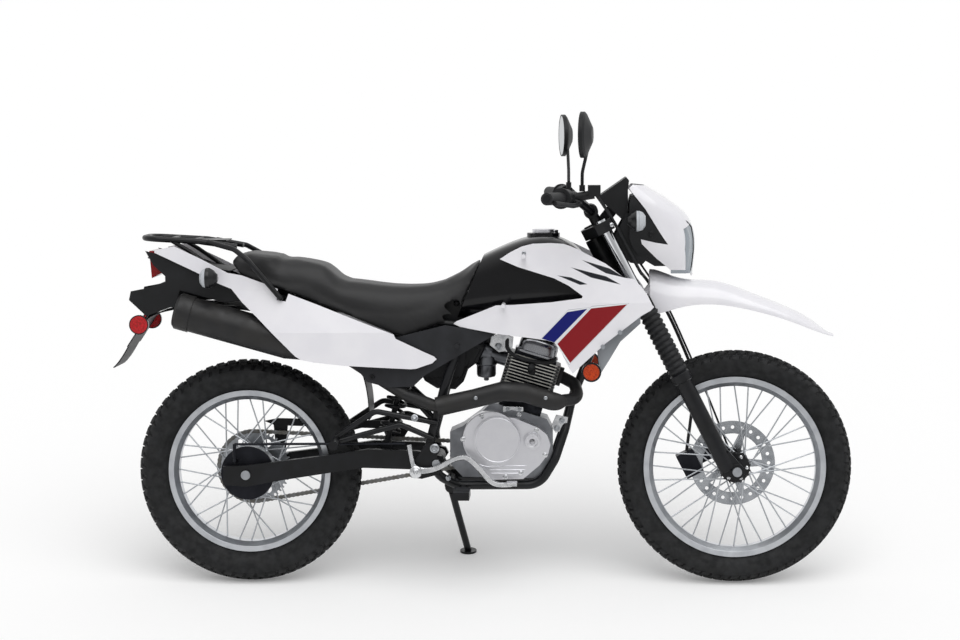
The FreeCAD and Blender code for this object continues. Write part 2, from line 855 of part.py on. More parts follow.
def build_wheels():
    front_tyre = tyre("front_tyre", "front")
    rear_tyre = tyre("rear_tyre", "rear")
    front_rim = rim("front_rim", "front")
    rear_rim = rim("rear_rim", "rear")
    front_core = front_hub_body()
    rear_core = rear_hub_body()
    disc = brake_disc()
    doc.recompute()
    half = sizes.front_hub_width / 2 - sizes.rim_wall / 2
    front_hub = spoked(
        "front_hub", front_core, (sizes.front_hub_flange_radius - sizes.rim_wall,) * 2,
        (half, -half), sizes.front_rim_inner_radius - sizes.seam_gap * 2)
    left = sizes.rear_hub_width / 2 - sizes.rear_drum_wall / 2
    right = -sizes.rear_hub_width / 2 - sizes.rear_drum_wall * 2 + sizes.rear_drum_depth
    rear_hub = spoked(
        "rear_hub", rear_core,
        (sizes.rear_hub_flange_radius - sizes.rim_wall, sizes.rear_drum_radius - sizes.rim_wall),
        (left, right - sizes.rear_drum_wall), sizes.rear_rim_inner_radius - sizes.seam_gap * 2)
    for piece in (front_core, rear_core):
        piece.Visibility = False
    node("front_tyre", front_tyre, front_axle)
    node("front_rim", front_rim, front_axle)
    node("front_hub", front_hub, front_axle)
    node("brake_disc", disc, front_axle)
    node("rear_tyre", rear_tyre, rear_axle)
    node("rear_rim", rear_rim, rear_axle)
    node("rear_hub", rear_hub, rear_axle)
    node("rear_sprocket", rear_sprocket(), rear_axle)


build_wheels()

# Side outlines, as shares of each moulding's own length and height.
SEAT_SIDE_SHARES = [
    (0.003, 0.992), (0.073, 0.98), (0.215, 0.94), (0.356, 0.875), (0.412, 0.82), (0.444, 0.74),
    (0.476, 0.69), (0.497, 0.67), (0.568, 0.635), (0.638, 0.615), (0.709, 0.606), (0.78, 0.602),
    (0.822, 0.616), (0.864, 0.649), (0.921, 0.743), (0.977, 0.85), (0.992, 0.855), (0.999, 0.829),
    (0.9, 0.163), (0.843, 0.135), (0.78, 0.065), (0.737, 0.012), (0.709, -0.004), (0.667, 0.016),
    (0.497, 0.224), (0.356, 0.384), (0.215, 0.547), (0.031, 0.694), (0, 0.91)]
TAIL_SIDE_SHARES = [
    (0.006, 0.967), (0.006, 0.947), (0.152, 0.789), (0.241, 0.688), (0.28, 0.653), (0.318, 0.546),
    (0.381, 0.404), (0.445, 0.255), (0.508, 0.107), (0.527, 0.08), (0.572, 0.059), (0.686, 0.03),
    (0.909, 0), (0.928, 0.003), (0.985, 0.047), (1, 0.08), (0.991, 0.101), (0.953, 0.142),
    (0.858, 0.249), (0.851, 0.285), (0.699, 0.421), (0.572, 0.537), (0.483, 0.614), (0.473, 0.552),
    (0.442, 0.564), (0.445, 0.653), (0.394, 0.7), (0.318, 0.763), (0.267, 0.783), (0.241, 0.813),
    (0.203, 0.858), (0.152, 0.917), (0.076, 1)]
SIDE_PANEL_SHARES = [
    (0.333, 0.814), (0.654, 1), (0.802, 0.942), (1, 0.855), (0.519, 0.203), (0.432, 0.012),
    (0.259, 0), (0.123, 0.087), (0.037, 0.331), (0.111, 0.61)]
SHROUD_SIDE_SHARES = [
    (0.234, 0.876), (0.288, 0.93), (0.343, 0.972), (0.398, 0.994), (0.489, 1), (0.553, 0.994),
    (0.589, 0.977), (0.626, 0.952), (0.763, 0.845), (0.854, 0.741), (0.9, 0.732), (0.936, 0.676),
    (0.964, 0.62), (0.991, 0.535), (1, 0.521), (0.982, 0.493), (0.936, 0.451), (0.763, 0.239),
    (0.599, 0), (0.58, 0.042), (0.544, 0.155), (0.507, 0.239), (0.471, 0.254), (0.361, 0.276),
    (0.215, 0.301), (0.033, 0.352), (0, 0.375), (0.015, 0.394), (0.215, 0.521), (0.307, 0.527),
    (0.489, 0.549), (0.644, 0.583), (0.648, 0.6), (0.58, 0.676), (0.507, 0.732), (0.398, 0.783),
    (0.325, 0.817)]
AIR_GUIDE_SHARES = [
    (0, 0.545), (0.083, 0), (0.292, 0.242), (0.542, 0.545), (1, 0.848), (1, 0.97), (0.542, 0.848),
    (0.208, 0.679)]
COWL_SIDE_SHARES = [
    (0.005, 0.961), (0.058, 1), (0.242, 0.988), (0.347, 0.957), (0.558, 0.852), (0.768, 0.734),
    (0.874, 0.656), (0.942, 0.559), (1, 0.441), (1, 0.324), (0.979, 0.031), (0.926, 0),
    (0.9, 0.07), (0.611, 0.078), (0.4, 0.207), (0.189, 0.363), (0.174, 0.414), (0.4, 0.375),
    (0.568, 0.355), (0.453, 0.48), (0.242, 0.734), (0.032, 0.93)]
BINNACLE_SIDE_SHARES = [
    (0.02, 0.4), (0.82, 0.98), (0.895, 0.88), (0.865, 0.6), (0.865, -0.3), (0.74, -0.3),
    (0.53, -0.1), (0.3, 0.1)]


def fork_parts():
    """Yokes, tubes, gaiters and legs, drawn along the steering axis."""
    low, high = "gaiter_length + fork_leg_top + seam_gap * 2", "upper_yoke_bottom"
    arm, clamp = "steering_fork_offset", "yoke_clamp_radius"
    side = "fork_half_spacing"
    plan = [
        (f"-{clamp}", f"-{clamp}"), (f"-{clamp}", clamp),
        (f"{arm} - {clamp}", f"{side} + {clamp} * 0.6"), (f"{arm}", f"{side} + {clamp}"),
        (f"{arm} + {clamp}", f"{side} + {clamp} * 0.6"),
        (f"{arm} + {clamp}", f"{side} - {clamp}"), (arm, f"{side} - {clamp}"),
        (f"{arm} * 0.6", f"{clamp}"), (f"{arm} * 0.6", f"-{clamp}"),
        (arm, f"{clamp} - {side}"), (f"{arm} + {clamp}", f"{clamp} - {side}"),
        (f"{arm} + {clamp}", f"-{side} - {clamp} * 0.6"), (f"{arm}", f"-{side} - {clamp}"),
        (f"{arm} - {clamp}", f"-{side} - {clamp} * 0.6")]
    yokes = body("fork_yokes")
    yokes.AllowCompound = True
    pad(yokes, outline(yokes, "XY_Plane", plan, low), "lower_yoke_height")
    pad(yokes, outline(yokes, "XY_Plane", plan, high), "upper_yoke_height")
    bores = circles(yokes, "XY_Plane", [
        (arm, side, "fork_tube_radius + shaft_clearance"),
        (arm, f"-{side}", "fork_tube_radius + shaft_clearance")], low)
    pocket(yokes, bores, "upper_yoke_bottom", reverse=True)
    stem = circles(yokes, "XY_Plane", [("0", "0", "stem_radius")], low)
    pad(yokes, stem, f"upper_yoke_bottom + upper_yoke_height - ({low}) + rim_wall")

    reach = f"({AXLE_REACH} - steering_fork_offset)"
    leg = body("fork_leg")
    leg_low = "axle_lug_radius * 0.5"
    profile = [
        ("0", leg_low), ("fork_leg_radius - rim_wall", leg_low),
        ("fork_leg_radius", f"{leg_low} + rim_wall"),
        ("fork_leg_radius", "fork_leg_top - fork_leg_collar_length - rim_wall"),
        ("fork_leg_collar_radius", "fork_leg_top - fork_leg_collar_length"),
        ("fork_leg_collar_radius", "fork_leg_top - rim_wall"),
        ("fork_leg_collar_radius - rim_wall", "fork_leg_top"),
        ("fork_tube_radius + shaft_clearance", "fork_leg_top"),
        ("fork_tube_radius + shaft_clearance", "fork_leg_top * 0.6"), ("0", "fork_leg_top * 0.6")]
    revolution(leg, outline(leg, "XZ_Plane", profile), "V_Axis")
    lug = circles(leg, "XZ_Plane", [(reach, "0", "axle_lug_radius")], "-axle_lug_width * 0.5")
    pad(leg, lug, "axle_lug_width")
    web = outline(leg, "XZ_Plane", [
        ("-fork_leg_radius + rim_wall", "axle_lug_radius * 0.6"), (reach, "-axle_lug_radius"),
        (f"{reach} + axle_lug_radius", "0"), ("fork_leg_radius", "axle_lug_radius * 3")],
        "-axle_lug_width * 0.4")
    pad(leg, web, "axle_lug_width * 0.8")
    hole = circles(leg, "XZ_Plane", [(reach, "0", "front_axle_radius + shaft_clearance")])
    pocket(leg, hole, "axle_lug_width * 2", symmetric=True)

    gaiter = body("fork_gaiter")
    count = sizes.gaiter_rib_count
    ribs = []
    for number in range(int(count)):
        ribs.append(("gaiter_valley_radius", f"gaiter_length * {number} / gaiter_rib_count"))
        ribs.append(("gaiter_outer_radius", f"gaiter_length * ({number} + 0.4) / gaiter_rib_count"))
        ribs.append(("gaiter_outer_radius", f"gaiter_length * ({number} + 0.6) / gaiter_rib_count"))
    ribs += [("gaiter_valley_radius", "gaiter_length"),
             ("fork_tube_radius + shaft_clearance", "gaiter_length"),
             ("fork_tube_radius + shaft_clearance", "0")]
    revolution(gaiter, outline(gaiter, "XZ_Plane", ribs), "V_Axis")
    doc.recompute()
    arm, side = sizes.steering_fork_offset, sizes.fork_half_spacing
    top = sizes.upper_yoke_bottom + sizes.upper_yoke_height + sizes.fork_top_reach
    tubes = [Part.makeCylinder(sizes.fork_tube_radius, top - sizes.fork_leg_top * 0.6,
                               Vector(arm, way * side, sizes.fork_leg_top * 0.6))
             for way in (-1, 1)]
    yokes.Visibility = False
    node("fork_yokes", feature("fork_yokes_with_risers", yokes.Shape.multiFuse(riser_solids())),
         steering)
    node("fork_tubes", feature("fork_tubes", Part.makeCompound(tubes)), steering)
    node("fork_legs", twins("fork_legs", leg.Shape, arm, side, 0), steering)
    node("fork_gaiters", twins("fork_gaiters", gaiter.Shape, arm, side,
                               sizes.fork_leg_top + sizes.seam_gap), steering)
    leg.Visibility = gaiter.Visibility = False


def twins(name, shape, x, spread, z):
    """Two copies of one shape, either side of the middle plane."""
    return feature(name, Part.makeCompound(
        [shape.translated(Vector(x, way * spread, z)) for way in (-1, 1)]))


def front_axle_piece():
    """The front axle with its spacers and nuts, along Y."""
    lug_out = sizes.fork_half_spacing + sizes.axle_lug_width / 2
    lug_in = sizes.fork_half_spacing - sizes.axle_lug_width / 2
    reach = lug_out + sizes.axle_nut_width
    bar = Part.makeCylinder(sizes.front_axle_radius, 2 * reach, Vector(0, -reach, 0), Vector(0, 1, 0))
    parts = []
    for way in (-1, 1):
        start = way * (lug_out + sizes.seam_gap)
        parts.append(Part.makeCylinder(sizes.axle_nut_radius, sizes.axle_nut_width,
                                       Vector(0, start, 0), Vector(0, way, 0)))
    hub_right = sizes.front_hub_width / 2 + sizes.rim_wall * 3
    hub_left = sizes.disc_side + sizes.disc_thickness
    for way, hub in ((-1, hub_right), (1, hub_left)):
        inner = hub + sizes.cut_overrun
        parts.append(Part.makeCylinder(sizes.axle_nut_radius, lug_in - sizes.seam_gap - inner,
                                       Vector(0, way * inner, 0), Vector(0, way, 0)))
    return feature("front_axle", bar.multiFuse(parts))


def rear_axle_piece():
    out = sizes.arm_inner_side + sizes.arm_width + sizes.seam_gap
    reach = out + sizes.axle_nut_width
    bar = Part.makeCylinder(sizes.rear_axle_radius, 2 * reach, Vector(0, -reach, 0), Vector(0, 1, 0))
    nuts = [Part.makeCylinder(sizes.axle_nut_radius, sizes.axle_nut_width, Vector(0, way * out, 0),
                              Vector(0, way, 0)) for way in (-1, 1)]
    return feature("rear_axle", bar.multiFuse(nuts))


def bar_points():
    return [Vector(sizes.bar_end_x, -sizes.bar_half_width, sizes.bar_end_height),
            Vector(sizes.bar_bend_x, -sizes.bar_bend_y, sizes.bar_bend_height),
            Vector(sizes.bar_clamp_x, -sizes.bar_clamp_half_width, sizes.bar_clamp_height),
            Vector(sizes.bar_clamp_x, sizes.bar_clamp_half_width, sizes.bar_clamp_height),
            Vector(sizes.bar_bend_x, sizes.bar_bend_y, sizes.bar_bend_height),
            Vector(sizes.bar_end_x, sizes.bar_half_width, sizes.bar_end_height)]


def on_bar(distance):
    """A point on the right grip's straight run, a distance in from its end, and its direction."""
    points = bar_points()
    inward = (points[1] - points[0]).normalize()
    return points[0] + inward * distance, inward


def riser_solids():
    """Two clamps that hold the bar over the upper yoke, drawn along the steering axis."""
    top = steering.inverse().multVec(Vector(sizes.bar_clamp_x, 0, sizes.bar_clamp_height))
    deck = sizes.upper_yoke_bottom + sizes.upper_yoke_height - sizes.rim_wall
    hole = tube([steering.inverse().multVec(point) for point in bar_points()],
                sizes.bar_radius + sizes.shaft_clearance, sizes.bar_bend_radius)
    risers = []
    for way in (-1, 1):
        stem = Part.makeCylinder(sizes.riser_radius, top.z - deck,
                                 Vector(top.x, way * sizes.riser_side, deck))
        clamp = Part.makeCylinder(
            sizes.bar_radius + sizes.riser_radius * 0.6, sizes.riser_radius * 2,
            Vector(top.x, way * sizes.riser_side - sizes.riser_radius, top.z), Vector(0, 1, 0))
        risers.append(stem.fuse(clamp).cut(hole))
    return risers


def handlebar_parts():
    bar = tube(bar_points(), sizes.bar_radius, sizes.bar_bend_radius)
    hole = tube(bar_points(), sizes.bar_radius + sizes.shaft_clearance, sizes.bar_bend_radius)
    node("handlebar", feature("handlebar", bar))
    end, inward = on_bar(0)
    grip = cylinder_between(end, end + inward * sizes.grip_length, sizes.grip_radius)
    flange_at = end + inward * (sizes.grip_length - sizes.grip_flange_width)
    flange = cylinder_between(flange_at, flange_at + inward * sizes.grip_flange_width,
                              sizes.grip_flange_radius)
    grip = grip.fuse(flange).cut(hole)
    node("grips", feature("grips", Part.makeCompound([grip, mirrored(grip)])))
    pod_at = end + inward * (sizes.grip_length + sizes.running_gap)
    perch_at = pod_at + inward * (sizes.pod_length + sizes.running_gap)
    pod = cylinder_between(pod_at, pod_at + inward * sizes.pod_length, sizes.pod_radius)
    perch = cylinder_between(perch_at, perch_at + inward * sizes.perch_length, sizes.perch_radius)
    foot = perch_at + inward * (sizes.perch_length / 2)
    ahead = Vector(math.cos(rake), 0, -math.sin(rake))
    arm = cylinder_between(foot, foot + ahead * (sizes.perch_radius * 2), sizes.perch_radius * 0.7)
    lever_start = foot + ahead * (sizes.perch_radius * 2) - inward * sizes.lever_width
    lever_end = lever_start - inward * sizes.lever_reach - ahead * (sizes.perch_radius * 0.6)
    lever = tube([lever_start + inward * sizes.lever_width,
                  lever_start - inward * (sizes.lever_reach * 0.4) + ahead * sizes.lever_thickness,
                  lever_end], sizes.lever_thickness * 0.5 + sizes.spoke_radius, sizes.bar_bend_radius)
    reservoir = Part.makeBox(sizes.reservoir_width, sizes.reservoir_length, sizes.reservoir_height)
    reservoir.translate(foot + Vector(sizes.perch_radius * 3, -sizes.reservoir_length / 2,
                                      sizes.perch_radius * 0.3))
    pump = cylinder_between(foot, foot + Vector(sizes.perch_radius * 4, 0, sizes.perch_radius * 0.6),
                            sizes.perch_radius * 0.7)
    right = pod.multiFuse([perch, arm, lever, reservoir, pump]).cut(hole)
    left = mirrored(pod.multiFuse([perch, arm, lever])).cut(hole)
    node("hand_controls", feature("hand_controls", Part.makeCompound([right, left])))


def mirror_piece(name):
    """One mirror head, turned about its own Y axis: a shallow cone with a rim and a glass recess."""
    piece = body(name)
    radius, depth = "mirror_radius", "mirror_depth"
    profile = [
        ("0", f"{depth} - rim_wall * 0.5"), (f"{radius} - rim_wall", f"{depth} - rim_wall * 0.5"),
        (f"{radius} - rim_wall", depth), (radius, depth), (radius, f"{depth} * 0.66"),
        (f"{radius} * 0.9", f"{depth} * 0.5"), (f"{radius} * 0.35", "0"), ("0", "0")]
    revolution(piece, outline(piece, "XY_Plane", profile), "V_Axis")
    return piece


def mirror_seat(way):
    """Where a mirror's stem stands: on the pump's body at the right, on the perch at the left."""
    end, inward = on_bar(sizes.grip_length + sizes.pod_length + sizes.running_gap * 2
                         + sizes.perch_length / 2)
    ahead = sizes.perch_radius * 2.1 if way < 0 else 0
    rise = sizes.perch_radius if way > 0 else sizes.perch_radius * 1.05
    return Vector(end.x + ahead, way * -end.y, end.z + rise + sizes.seam_gap)


def mirror_parts():
    head = mirror_piece("mirror_head")
    doc.recompute()
    head.Visibility = False
    bodies, glasses = [], []
    for way in (-1, 1):
        seat = mirror_seat(way)
        foot = seat + Vector(0, 0, sizes.perch_radius)
        back = sizes.mirror_left_setback if way > 0 else 0
        neck = Vector(sizes.bar_bend_x + sizes.perch_radius * 2 - back,
                      way * (sizes.mirror_side - sizes.mirror_radius * 0.6),
                      sizes.mirror_height - sizes.mirror_radius * 0.6)
        facing = Placement(
            Vector(sizes.bar_bend_x + sizes.mirror_depth * 1.5 - back, way * sizes.mirror_side,
                   sizes.mirror_height),
            Rotation(Vector(0, 0, 1), 90 + way * MIRROR_TURN_SHARE * 90))
        shell = head.Shape.copy()
        shell.transformShape(facing.toMatrix())
        stem = tube([foot, foot + Vector(0, way * sizes.perch_length, sizes.perch_length),
                     neck, neck + Vector(0, way * sizes.perch_radius, sizes.perch_radius)],
                    sizes.mirror_stem_radius, sizes.bar_bend_radius)
        base = Part.makeCylinder(sizes.stem_radius * 0.6, sizes.perch_radius, seat,
                                 Vector(0, 0, 1))
        bodies.append(shell.multiFuse([stem, base]))
        plate = Part.makeCylinder(
            sizes.mirror_radius - sizes.rim_wall - sizes.seam_gap, sizes.rim_wall * 0.4,
            Vector(0, sizes.mirror_depth - sizes.rim_wall * 0.5, 0), Vector(0, 1, 0))
        plate.transformShape(facing.toMatrix())
        glasses.append(plate)
    node("mirrors", feature("mirrors", Part.makeCompound(bodies)))
    node("mirror_glasses", feature("mirror_glasses", Part.makeCompound(glasses)))


# How far a mirror's face is turned inwards, as a share of a right angle.
MIRROR_TURN_SHARE = 0.09

# The mask's plan at rising heights: height, front reach and half width, as shares of its own size.
COWL_LEVEL_SHARES = [
    (-0.03, 0.93, 0.55), (0.17, 0.97, 0.76), (0.36, 0.99, 0.9), (0.56, 0.94, 0.98),
    (0.73, 0.78, 1), (0.87, 0.53, 0.96), (0.98, 0.28, 0.88), (1.02, 0.16, 0.82)]
# Points along half of a plan, from the rear edge to the nose: shares of the reach and half width.
COWL_PLAN_SHARES = [(0, 1), (0.4, 0.99), (0.8, 0.78), (0.96, 0.42), (1, 0)]


def cowl_wire(level, shrink):
    height_share, reach_share, half_share = level
    z = sizes.cowl_low + height_share * sizes.cowl_height
    reach = reach_share * sizes.cowl_length - shrink
    half = half_share * sizes.cowl_half_width - shrink
    right = [Vector(sizes.cowl_rear_x + along * reach, -out * half, z)
             for along, out in COWL_PLAN_SHARES]
    left = [Vector(point.x, -point.y, point.z) for point in reversed(right[:-1])]
    points = right + left
    return Part.Wire([spline_edge(points), Part.LineSegment(points[-1], points[0]).toShape()])


def cowl_solid(shrink):
    return Part.makeLoft([cowl_wire(level, shrink) for level in COWL_LEVEL_SHARES], True, False)


def head_parts():
    wall, reach = sizes.panel_wall, sizes.cowl_half_width * 1.2
    shell = cowl_solid(0).cut(cowl_solid(wall))
    side = slab(COWL_SIDE_SHARES, sizes.cowl_rear_x, sizes.cowl_low, sizes.cowl_length,
                sizes.cowl_height, -reach, reach)
    shell = shell.common(side)

    def lens_block(inset):
        points = [Vector(sizes.cowl_rear_x + sizes.cowl_length * LENS_BACK_SHARE,
                         out * (sizes.cowl_half_width - inset),
                         sizes.cowl_low + up * sizes.cowl_height + inset * (1 if up < 0.3 else -1))
                  for out, up in LENS_SHARES]
        return Part.Face(polygon(points)).extrude(Vector(sizes.cowl_length, 0, 0))

    shell = shell.cut(lens_block(0))
    node("headlight_cowl", feature("headlight_cowl", shell))
    lens = lens_block(sizes.running_gap).common(cowl_solid(wall / 2))
    node("headlight", feature("headlight", lens))
    housing_side = slab(HOUSING_SIDE_SHARES, sizes.cowl_rear_x, sizes.cowl_low, sizes.cowl_length,
                        sizes.cowl_height, -reach, reach)
    housing = housing_side.common(cowl_solid(wall + sizes.running_gap))
    box = Part.makeBox(
        sizes.cowl_length * LENS_BACK_SHARE - sizes.running_gap, reach * 2, sizes.cowl_height,
        Vector(sizes.cowl_rear_x, -reach, sizes.cowl_low))
    plate_side = sizes.fork_half_spacing - sizes.fork_tube_radius
    plates = [slab(HEADLIGHT_BRACKET_SHARES, sizes.cowl_rear_x, sizes.cowl_low, sizes.cowl_length,
                   sizes.cowl_height, way * plate_side, way * (plate_side + wall))
              for way in (-1, 1)]
    housing = housing.common(box).multiFuse(plates).cut(standing("fork_tubes"))
    node("headlight_housing", feature("headlight_housing", housing))


# The housing behind the mask, from the side.
HOUSING_SIDE_SHARES = [(0.01, 0.42), (0.01, 0.8), (0.04, 0.88), (0.13, 0.9), (0.4, 0.84),
                       (0.7, 0.68), (0.7, 0.12), (0.38, 0.12), (0.15, 0.22), (0.06, 0.32)]
# The plates that carry the headlight from the fork tubes, from the side.
HEADLIGHT_BRACKET_SHARES = [(-0.26, 0.37), (-0.03, 0.69), (0.17, 0.69), (0.33, 0.54), (0.4, 0.3),
                            (0.2, 0.14), (0.02, 0.16)]
# The headlight seen from the front: shares of the mask's half width and height.
LENS_SHARES = [(-0.4, 0.03), (0.4, 0.03), (0.64, 0.3), (0.72, 0.52), (0.3, 0.6), (-0.3, 0.6),
               (-0.72, 0.52), (-0.64, 0.3)]
# Where the lens block starts, as a share of the mask's length.
LENS_BACK_SHARE = 0.62


# The neck under the instruments, down to the upper yoke's front face.
BINNACLE_NECK_SHARES = [(-0.05, -0.36), (0.1, -0.72), (0.66, 0.05), (0.28, 0.09)]


def binnacle_part():
    half = sizes.binnacle_half_width
    block = slab(BINNACLE_SIDE_SHARES, sizes.binnacle_x, sizes.binnacle_low, sizes.binnacle_length,
                 sizes.binnacle_height, -half, half)
    neck = slab(BINNACLE_NECK_SHARES, sizes.binnacle_x, sizes.binnacle_low, sizes.binnacle_length,
                sizes.binnacle_height, -half * 0.25, half * 0.25)
    box = block.fuse(neck).cut(standing("fork_yokes")).cut(standing("headlight_cowl"))
    node("instrument_binnacle", feature("instrument_binnacle", box))


def indicator_piece(name, lens_only):
    """An indicator along X: a domed housing and a clear front, with the stalk apart."""
    piece = body(name)
    radius, length = "indicator_radius", "indicator_length"
    lens = "(indicator_length - indicator_lens_length)"
    if lens_only:
        profile = [(f"{lens} + seam_gap", "0"), (f"{lens} + seam_gap", radius),
                   (f"{length} - indicator_lens_length * 0.4", f"{radius} * 0.86"),
                   (length, f"{radius} * 0.5"), (length, "0")]
    else:
        profile = [("0", "0"), ("0", f"{radius} * 0.35"), (f"{length} * 0.2", f"{radius} * 0.75"),
                   (f"{length} * 0.45", radius), (lens, radius), (lens, "0")]
    revolution(piece, outline(piece, "XY_Plane", profile), "H_Axis")
    return piece


def indicator_parts():
    housing, lens = indicator_piece("indicator_body", False), indicator_piece("indicator_lens", True)
    doc.recompute()
    housing.Visibility = lens.Visibility = False
    for end, way_ahead in (("front", 1), ("rear", -1)):
        x, z = getattr(sizes, end + "_indicator_x"), getattr(sizes, end + "_indicator_height")
        side = getattr(sizes, end + "_indicator_side")
        root = indicator_root(end)
        shells = []
        for way in (-1, 1):
            where = Placement(Vector(x, way * side, z),
                              Rotation(Vector(0, 0, 1), 0 if way_ahead > 0 else 180))
            shell, glass = housing.Shape.copy(), lens.Shape.copy()
            shell.transformShape(where.toMatrix())
            glass.transformShape(where.toMatrix())
            middle = Vector(x + way_ahead * sizes.indicator_length * 0.4, way * side, z)
            stalk = cylinder_between(Vector(middle.x, way * root, z), middle,
                                     sizes.indicator_stalk_radius)
            if end == "front":
                stalk = between(stalk, standing("headlight_housing"))
            shells += [shell.fuse(stalk), glass]
        node(end + "_indicators", feature(end + "_indicators", Part.makeCompound(shells)))


def indicator_root(end):
    """Where an indicator's stalk starts: on the headlight's bracket, or on the tail box's wall."""
    if end == "front":
        face = sizes.fork_half_spacing - sizes.fork_tube_radius + sizes.panel_wall
    else:
        face = tail_box_side() + sizes.mudguard_wall
    return face + sizes.seam_gap


def tail_box_side():
    """The inner face of the tail box's walls, just outside the seat rails."""
    return sizes.rail_side + sizes.rail_radius + sizes.running_gap


# The front fender's crown and edges: shares along its length, of its rise and of its half width.
FENDER_STATION_SHARES = [
    (0, 1.03, 0.36, 0.94), (0.06, 1, 0.37, 0.98), (0.16, 0.9, 0.45, 1), (0.35, 0.85, 0.5, 1.03),
    (0.56, 0.66, 0.4, 1.03), (0.76, 0.43, 0.23, 0.9), (0.93, 0.14, 0.04, 0.56),
    (1, 0.02, -0.02, 0.26)]


def fender_wire(station, shrink):
    along, crown, edge, half = station
    x = sizes.fender_rear_x + along * sizes.fender_length
    low = sizes.fender_tip_height + edge * sizes.fender_rise - shrink * 2
    top = sizes.fender_tip_height + crown * sizes.fender_rise - shrink
    out = half * sizes.fender_half_width - shrink
    points = [Vector(x, side * out, low + up * (top - low)) for side, up in FENDER_ARCH_SHARES]
    return Part.Wire([spline_edge(points), Part.LineSegment(points[-1], points[0]).toShape()])


# The fender's arch, from its right edge over the crown: shares of half width and of height.
FENDER_ARCH_SHARES = [(-1, 0), (-0.97, 0.35), (-0.72, 0.75), (-0.3, 0.96), (0, 1), (0.3, 0.96),
                      (0.72, 0.75), (0.97, 0.35), (1, 0)]


def fender_part():
    outer = Part.makeLoft([fender_wire(s, 0) for s in FENDER_STATION_SHARES], True, False)
    inner = Part.makeLoft([fender_wire(s, sizes.panel_wall) for s in FENDER_STATION_SHARES],
                          True, False)
    shell = outer.cut(inner)
    stays = []
    for way in (-1, 1):
        side = way * sizes.yoke_clamp_radius
        root = steering.multVec(Vector(0, side, sizes.fork_leg_top + sizes.gaiter_length
                                       + sizes.lower_yoke_height / 2))
        roof = Vector(sizes.fender_rear_x + sizes.fender_length * 0.1, side,
                      sizes.fender_tip_height + sizes.fender_rise * 1.1)
        stays.append(between(cylinder_between(root, roof, sizes.stem_radius * 0.5),
                             standing("fork_yokes"), shell))
    node("front_fender", feature("front_fender", shell.multiFuse(stays)))


fork_parts()
node("front_axle", front_axle_piece(), front_axle)
handlebar_parts()
mirror_parts()
head_parts()
binnacle_part()
indicator_parts()
fender_part()


def spot(along, side, up):
    """A point from shares of the wheelbase, and a distance to the left."""
    return Vector(along * sizes.wheelbase, side, up * sizes.wheelbase)


def round_section(points):
    """A closed smooth section through points in order."""
    curve = Part.BSplineCurve()
    curve.interpolate(points, PeriodicFlag=True)
    return Part.Wire([curve.toShape()])


# The tank's stations: along, floor and crown as shares, then its half width there.
TANK_STATION_SHARES = [
    (-0.03, -0.02, 0.42, 0.66), (0.12, 0, 0.72, 0.72), (0.27, 0, 0.86, 0.82),
    (0.46, 0, 1, 0.91), (0.72, 0.01, 1, 0.92), (0.84, 0.03, 0.86, 0.9), (0.96, 0.07, 0.56, 0.8),
    (1.02, 0.12, 0.4, 0.66)]
# A tank section from its floor up the right side and over: shares of half width and of height.
TANK_SECTION_SHARES = [
    (0, 0), (-0.8, 0.01), (-0.97, 0.16), (-1, 0.5), (-0.95, 0.78), (-0.72, 0.94), (-0.3, 0.995),
    (0, 1), (0.3, 0.995), (0.72, 0.94), (0.95, 0.78), (1, 0.5), (0.97, 0.16), (0.8, 0.01)]


def lock_room():
    """The room that the yokes' clamps sweep behind them when the steering turns to its locks."""
    centre = math.hypot(sizes.steering_fork_offset, sizes.fork_half_spacing)
    swing = sizes.yoke_clamp_radius + sizes.lock_clearance
    home = math.degrees(math.atan2(sizes.fork_half_spacing, sizes.steering_fork_offset))
    margin = math.degrees(math.asin(swing / centre))
    turn = sizes.steering_lock_angle + margin * 2
    height = (sizes.upper_yoke_bottom + sizes.upper_yoke_height + sizes.lock_clearance
              - sizes.fork_leg_top)
    low = Vector(0, 0, sizes.fork_leg_top)
    ring = Part.makeCylinder(centre + swing, height, low, Vector(0, 0, 1), turn).cut(
        Part.makeCylinder(centre - swing, height, low))
    ring.rotate(Vector(0, 0, 0), Vector(0, 0, 1), home - margin)
    rooms = ring.fuse(mirrored(ring))
    rooms.transformShape(steering.toMatrix())
    return rooms


